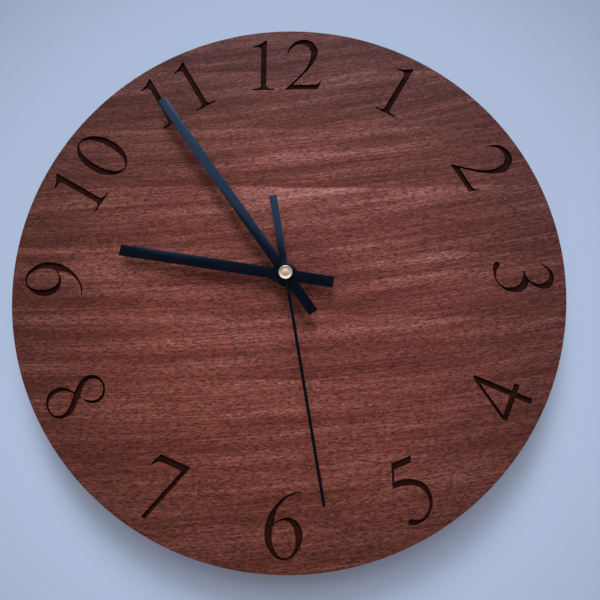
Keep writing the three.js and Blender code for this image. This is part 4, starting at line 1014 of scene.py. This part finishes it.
class CLOCK_OT_movement_works(bpy.types.Operator):
    """Wind the coil, set the motor's screws, and finish the wheels, plates and electronics"""
    bl_idname = "clock.movement_works"
    bl_label = "Movement Works"

    def execute(self, context):
        winding = self.winding(context.scene.wall_clock.movement.wire)
        fit(winding, mottled("copper_enamelled"), FIXED, "copper", "coil_winding", angle=60)
        screw_row("motor_screws", MOTOR_SCREWS, 1.5 * MM, 0.8 * MM, 0.01 * MM, 0.6 * MM)
        for finish, nodes in (
                ("acetal_moulded", ("rotor", "second_wheel", "centre_wheel", "minute_arbor", "hour_wheel",
                                    "intermediate_wheel", "third_wheel", "minute_wheel", "coil_bobbin")),
                ("magnet_sintered", ("rotor_magnet",)), ("steel_zinc_plated", ("stator", "coil_core")),
                ("nickel_plated", ("quartz_crystal",)), ("laminate_pressed", ("circuit_board",)),
                ("epoxy_cast", ("chip_bead",))):
            dress(mottled(finish), *nodes)
        return {"FINISHED"}

    def winding(self, wire):
        """Wire wound in one close layer along X, around a core."""
        low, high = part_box("coil_winding")
        centre = middle("coil_winding")
        turns_length = high.x - low.x - wire
        radius = (high.z - low.z) / 2
        tree, inputs = new_tree("wound_wire", Turns="Float", Radius="Float", Length="Float", Wire="Float")
        path = add(tree, "GeometryNodeCurveSpiral", {
            "Resolution": 24, "Rotations": inputs["Turns"], "Start Radius": inputs["Radius"],
            "End Radius": inputs["Radius"], "Height": inputs["Length"]})
        section = add(tree, "GeometryNodeCurvePrimitiveCircle", {"Resolution": 6, "Radius": inputs["Wire"]})
        coil = add(tree, "GeometryNodeCurveToMesh", {
            "Curve": path.outputs[0], "Profile Curve": section.outputs[0], "Fill Caps": True})
        winding = grown("winding", tree, coil.outputs[0], {
            "Turns": turns_length / wire, "Radius": (high.z - low.z - wire) / 2, "Length": turns_length,
            "Wire": wire / 2})
        bore, outer = 1.85 * MM, radius - wire * 0.7
        core = turned("core", [
            (outer, 0.0), (outer, turns_length), (bore, turns_length), (bore, 0.0)], steps=32)
        core.data.transform(Matrix.Rotation(math.pi / 2, 4, "X"))
        winding = joined("winding", winding, core)
        winding.data.transform(Matrix.Translation((low.x + wire / 2, centre.y, centre.z))
                               @ Matrix.Rotation(math.pi / 2, 4, "Y"))
        return winding


class CLOCK_OT_stage(bpy.types.Operator):
    """Set up the wall behind the clock, the soft light and the camera"""
    bl_idname = "clock.stage"
    bl_label = "Stage"

    def execute(self, context):
        scene = context.scene
        stage = scene.wall_clock.stage
        scene.view_settings.view_transform = "Standard"
        wall_y, reach = 0.6 * MM, 2
        mesh = bpy.data.meshes.new("wall")
        mesh.from_pydata([(x * reach, wall_y, z * reach) for x, z in ((-1, -1), (1, -1), (1, 1), (-1, 1))],
                         [], [(0, 1, 2, 3)])
        wall = new_object("wall", mesh)
        wall.data.materials.append(self.wall_paint(stage))
        # Only the camera and glossy rays meet the wall, so that light still reaches the back of the clock
        wall.visible_diffuse = False
        wall.visible_shadow = False

        # A wide low window that the hands mirror, a smaller lamp above it for the shadows, warm light off the
        # floor and light behind: width, height, share of the power, place and colour
        sky, floor = "#eef6ff", "#ffcfb4"
        lamps = (
            ("window", 3.6, 1.6, 1.02, (0.057, -2.823, 1.866), sky),
            ("key", 0.95, 0.95, 1.0, (-0.14, -1.6, 2.05), sky),
            ("floor_bounce", 1.6, 1.6, 0.09, (0.3, -0.8, -1.3), floor),
            ("rear_fill", 1.2, 1.2, 0.4, (-0.5, 1.0, 0.7), sky),
        )
        for name, width, height, share, place, colour in lamps:
            light = bpy.data.lights.new(name, "AREA")
            light.shape = "RECTANGLE"
            light.size, light.size_y = width, height
            light.energy = stage.lamp_power * share
            light.color = linear(colour)[:3]
            lamp = new_object(name, light)
            lamp.location = place
            lamp.rotation_euler = (-Vector(place)).to_track_quat("-Z", "Y").to_euler()

        world = bpy.data.worlds.new("room")
        world.use_nodes = True
        world.node_tree.nodes.clear()
        room = add(world.node_tree, "ShaderNodeBackground", {
            "Color": (0.26, 0.28, 0.32, 1.0), "Strength": 1.0})
        add(world.node_tree, "ShaderNodeOutputWorld", {0: room.outputs[0]})
        scene.world = world

        lens = bpy.data.cameras.new("camera")
        lens.sensor_width = 36.0
        lens.lens = stage.lens
        lens.clip_start = 0.01
        camera = new_object("camera", lens)
        camera.location = (0.0128, -0.29976, -0.0638)
        camera.rotation_euler = [math.radians(a) for a in (100.4545, -0.1218, 1.1020)]
        scene.camera = camera
        return {"FINISHED"}

    def wall_paint(self, stage):
        """Emulsion paint, matt and pale blue-grey, seen from the front only."""
        material, tree, mm = start("wall_paint")
        # Painted shade: the paint is darker away from the clock, standing in for light that falls off towards
        # the corners, darker towards the ceiling and lighter low down
        painted_falloff = remap(tree, measure(tree, "LENGTH", mm), 140.0, 320.0, 1.0, 0.66,
                      interpolation_type="SMOOTHSTEP")
        height = add(tree, "ShaderNodeSeparateXYZ", {0: mm}).outputs["Z"]
        shade = calc(tree, "MULTIPLY", painted_falloff, remap(tree, height, -180.0, 180.0, 1.1, 0.96))
        colour = blend(tree, 1.0, (*stage.wall_colour, 1.0), shade, blend_type="MULTIPLY")
        cloud = noise(tree, mm, 1 / 1.5, 3.0)[0]
        paint = add(tree, "ShaderNodeBsdfDiffuse", {"Color": colour, "Normal": bump(tree, cloud, 0.2, 0.05)})
        gone = add(tree, "ShaderNodeBsdfTransparent")
        side = add(tree, "ShaderNodeNewGeometry")
        shader = add(tree, "ShaderNodeMixShader", {
            0: side.outputs["Backfacing"], 1: paint.outputs[0], 2: gone.outputs[0]})
        add(tree, "ShaderNodeOutputMaterial", {0: shader.outputs[0]})
        return material


OPERATORS = (
    CLOCK_OT_dial_board, CLOCK_OT_hands, CLOCK_OT_central_fixing, CLOCK_OT_keyhole_hanger,
    CLOCK_OT_movement_case, CLOCK_OT_cell_and_contacts, CLOCK_OT_movement_works, CLOCK_OT_stage,
)


class CLOCK_PT_sidebar(bpy.types.Panel):
    """Lists the clock's pieces and settings"""
    bl_idname = "CLOCK_PT_sidebar"
    bl_label = "Wooden Wall Clock"
    bl_space_type = "VIEW_3D"
    bl_region_type = "UI"
    bl_category = "Clock"

    def draw(self, context):
        for operator in OPERATORS:
            self.layout.operator(operator.bl_idname)
        settings = context.scene.wall_clock
        for group in (settings.dial, settings.hands, settings.movement, settings.stage):
            box = self.layout.box()
            for name in group.__annotations__:
                box.prop(group, name)


CLASSES = (
    DialSettings, HandSettings, MovementSettings, StageSettings, ClockSettings, *OPERATORS, CLOCK_PT_sidebar,
)


def register():
    for cls in CLASSES:
        bpy.utils.register_class(cls)
    bpy.types.Scene.wall_clock = PointerProperty(
        type=ClockSettings, name="Wall clock", description="Clock settings")


def unregister():
    del bpy.types.Scene.wall_clock
    for cls in reversed(CLASSES):
        bpy.utils.unregister_class(cls)


def main():
    """Build every piece."""
    register()
    for operator in OPERATORS:
        group, name = operator.bl_idname.split(".")
        getattr(getattr(bpy.ops, group), name)()


if __name__ == "__main__":
    main()
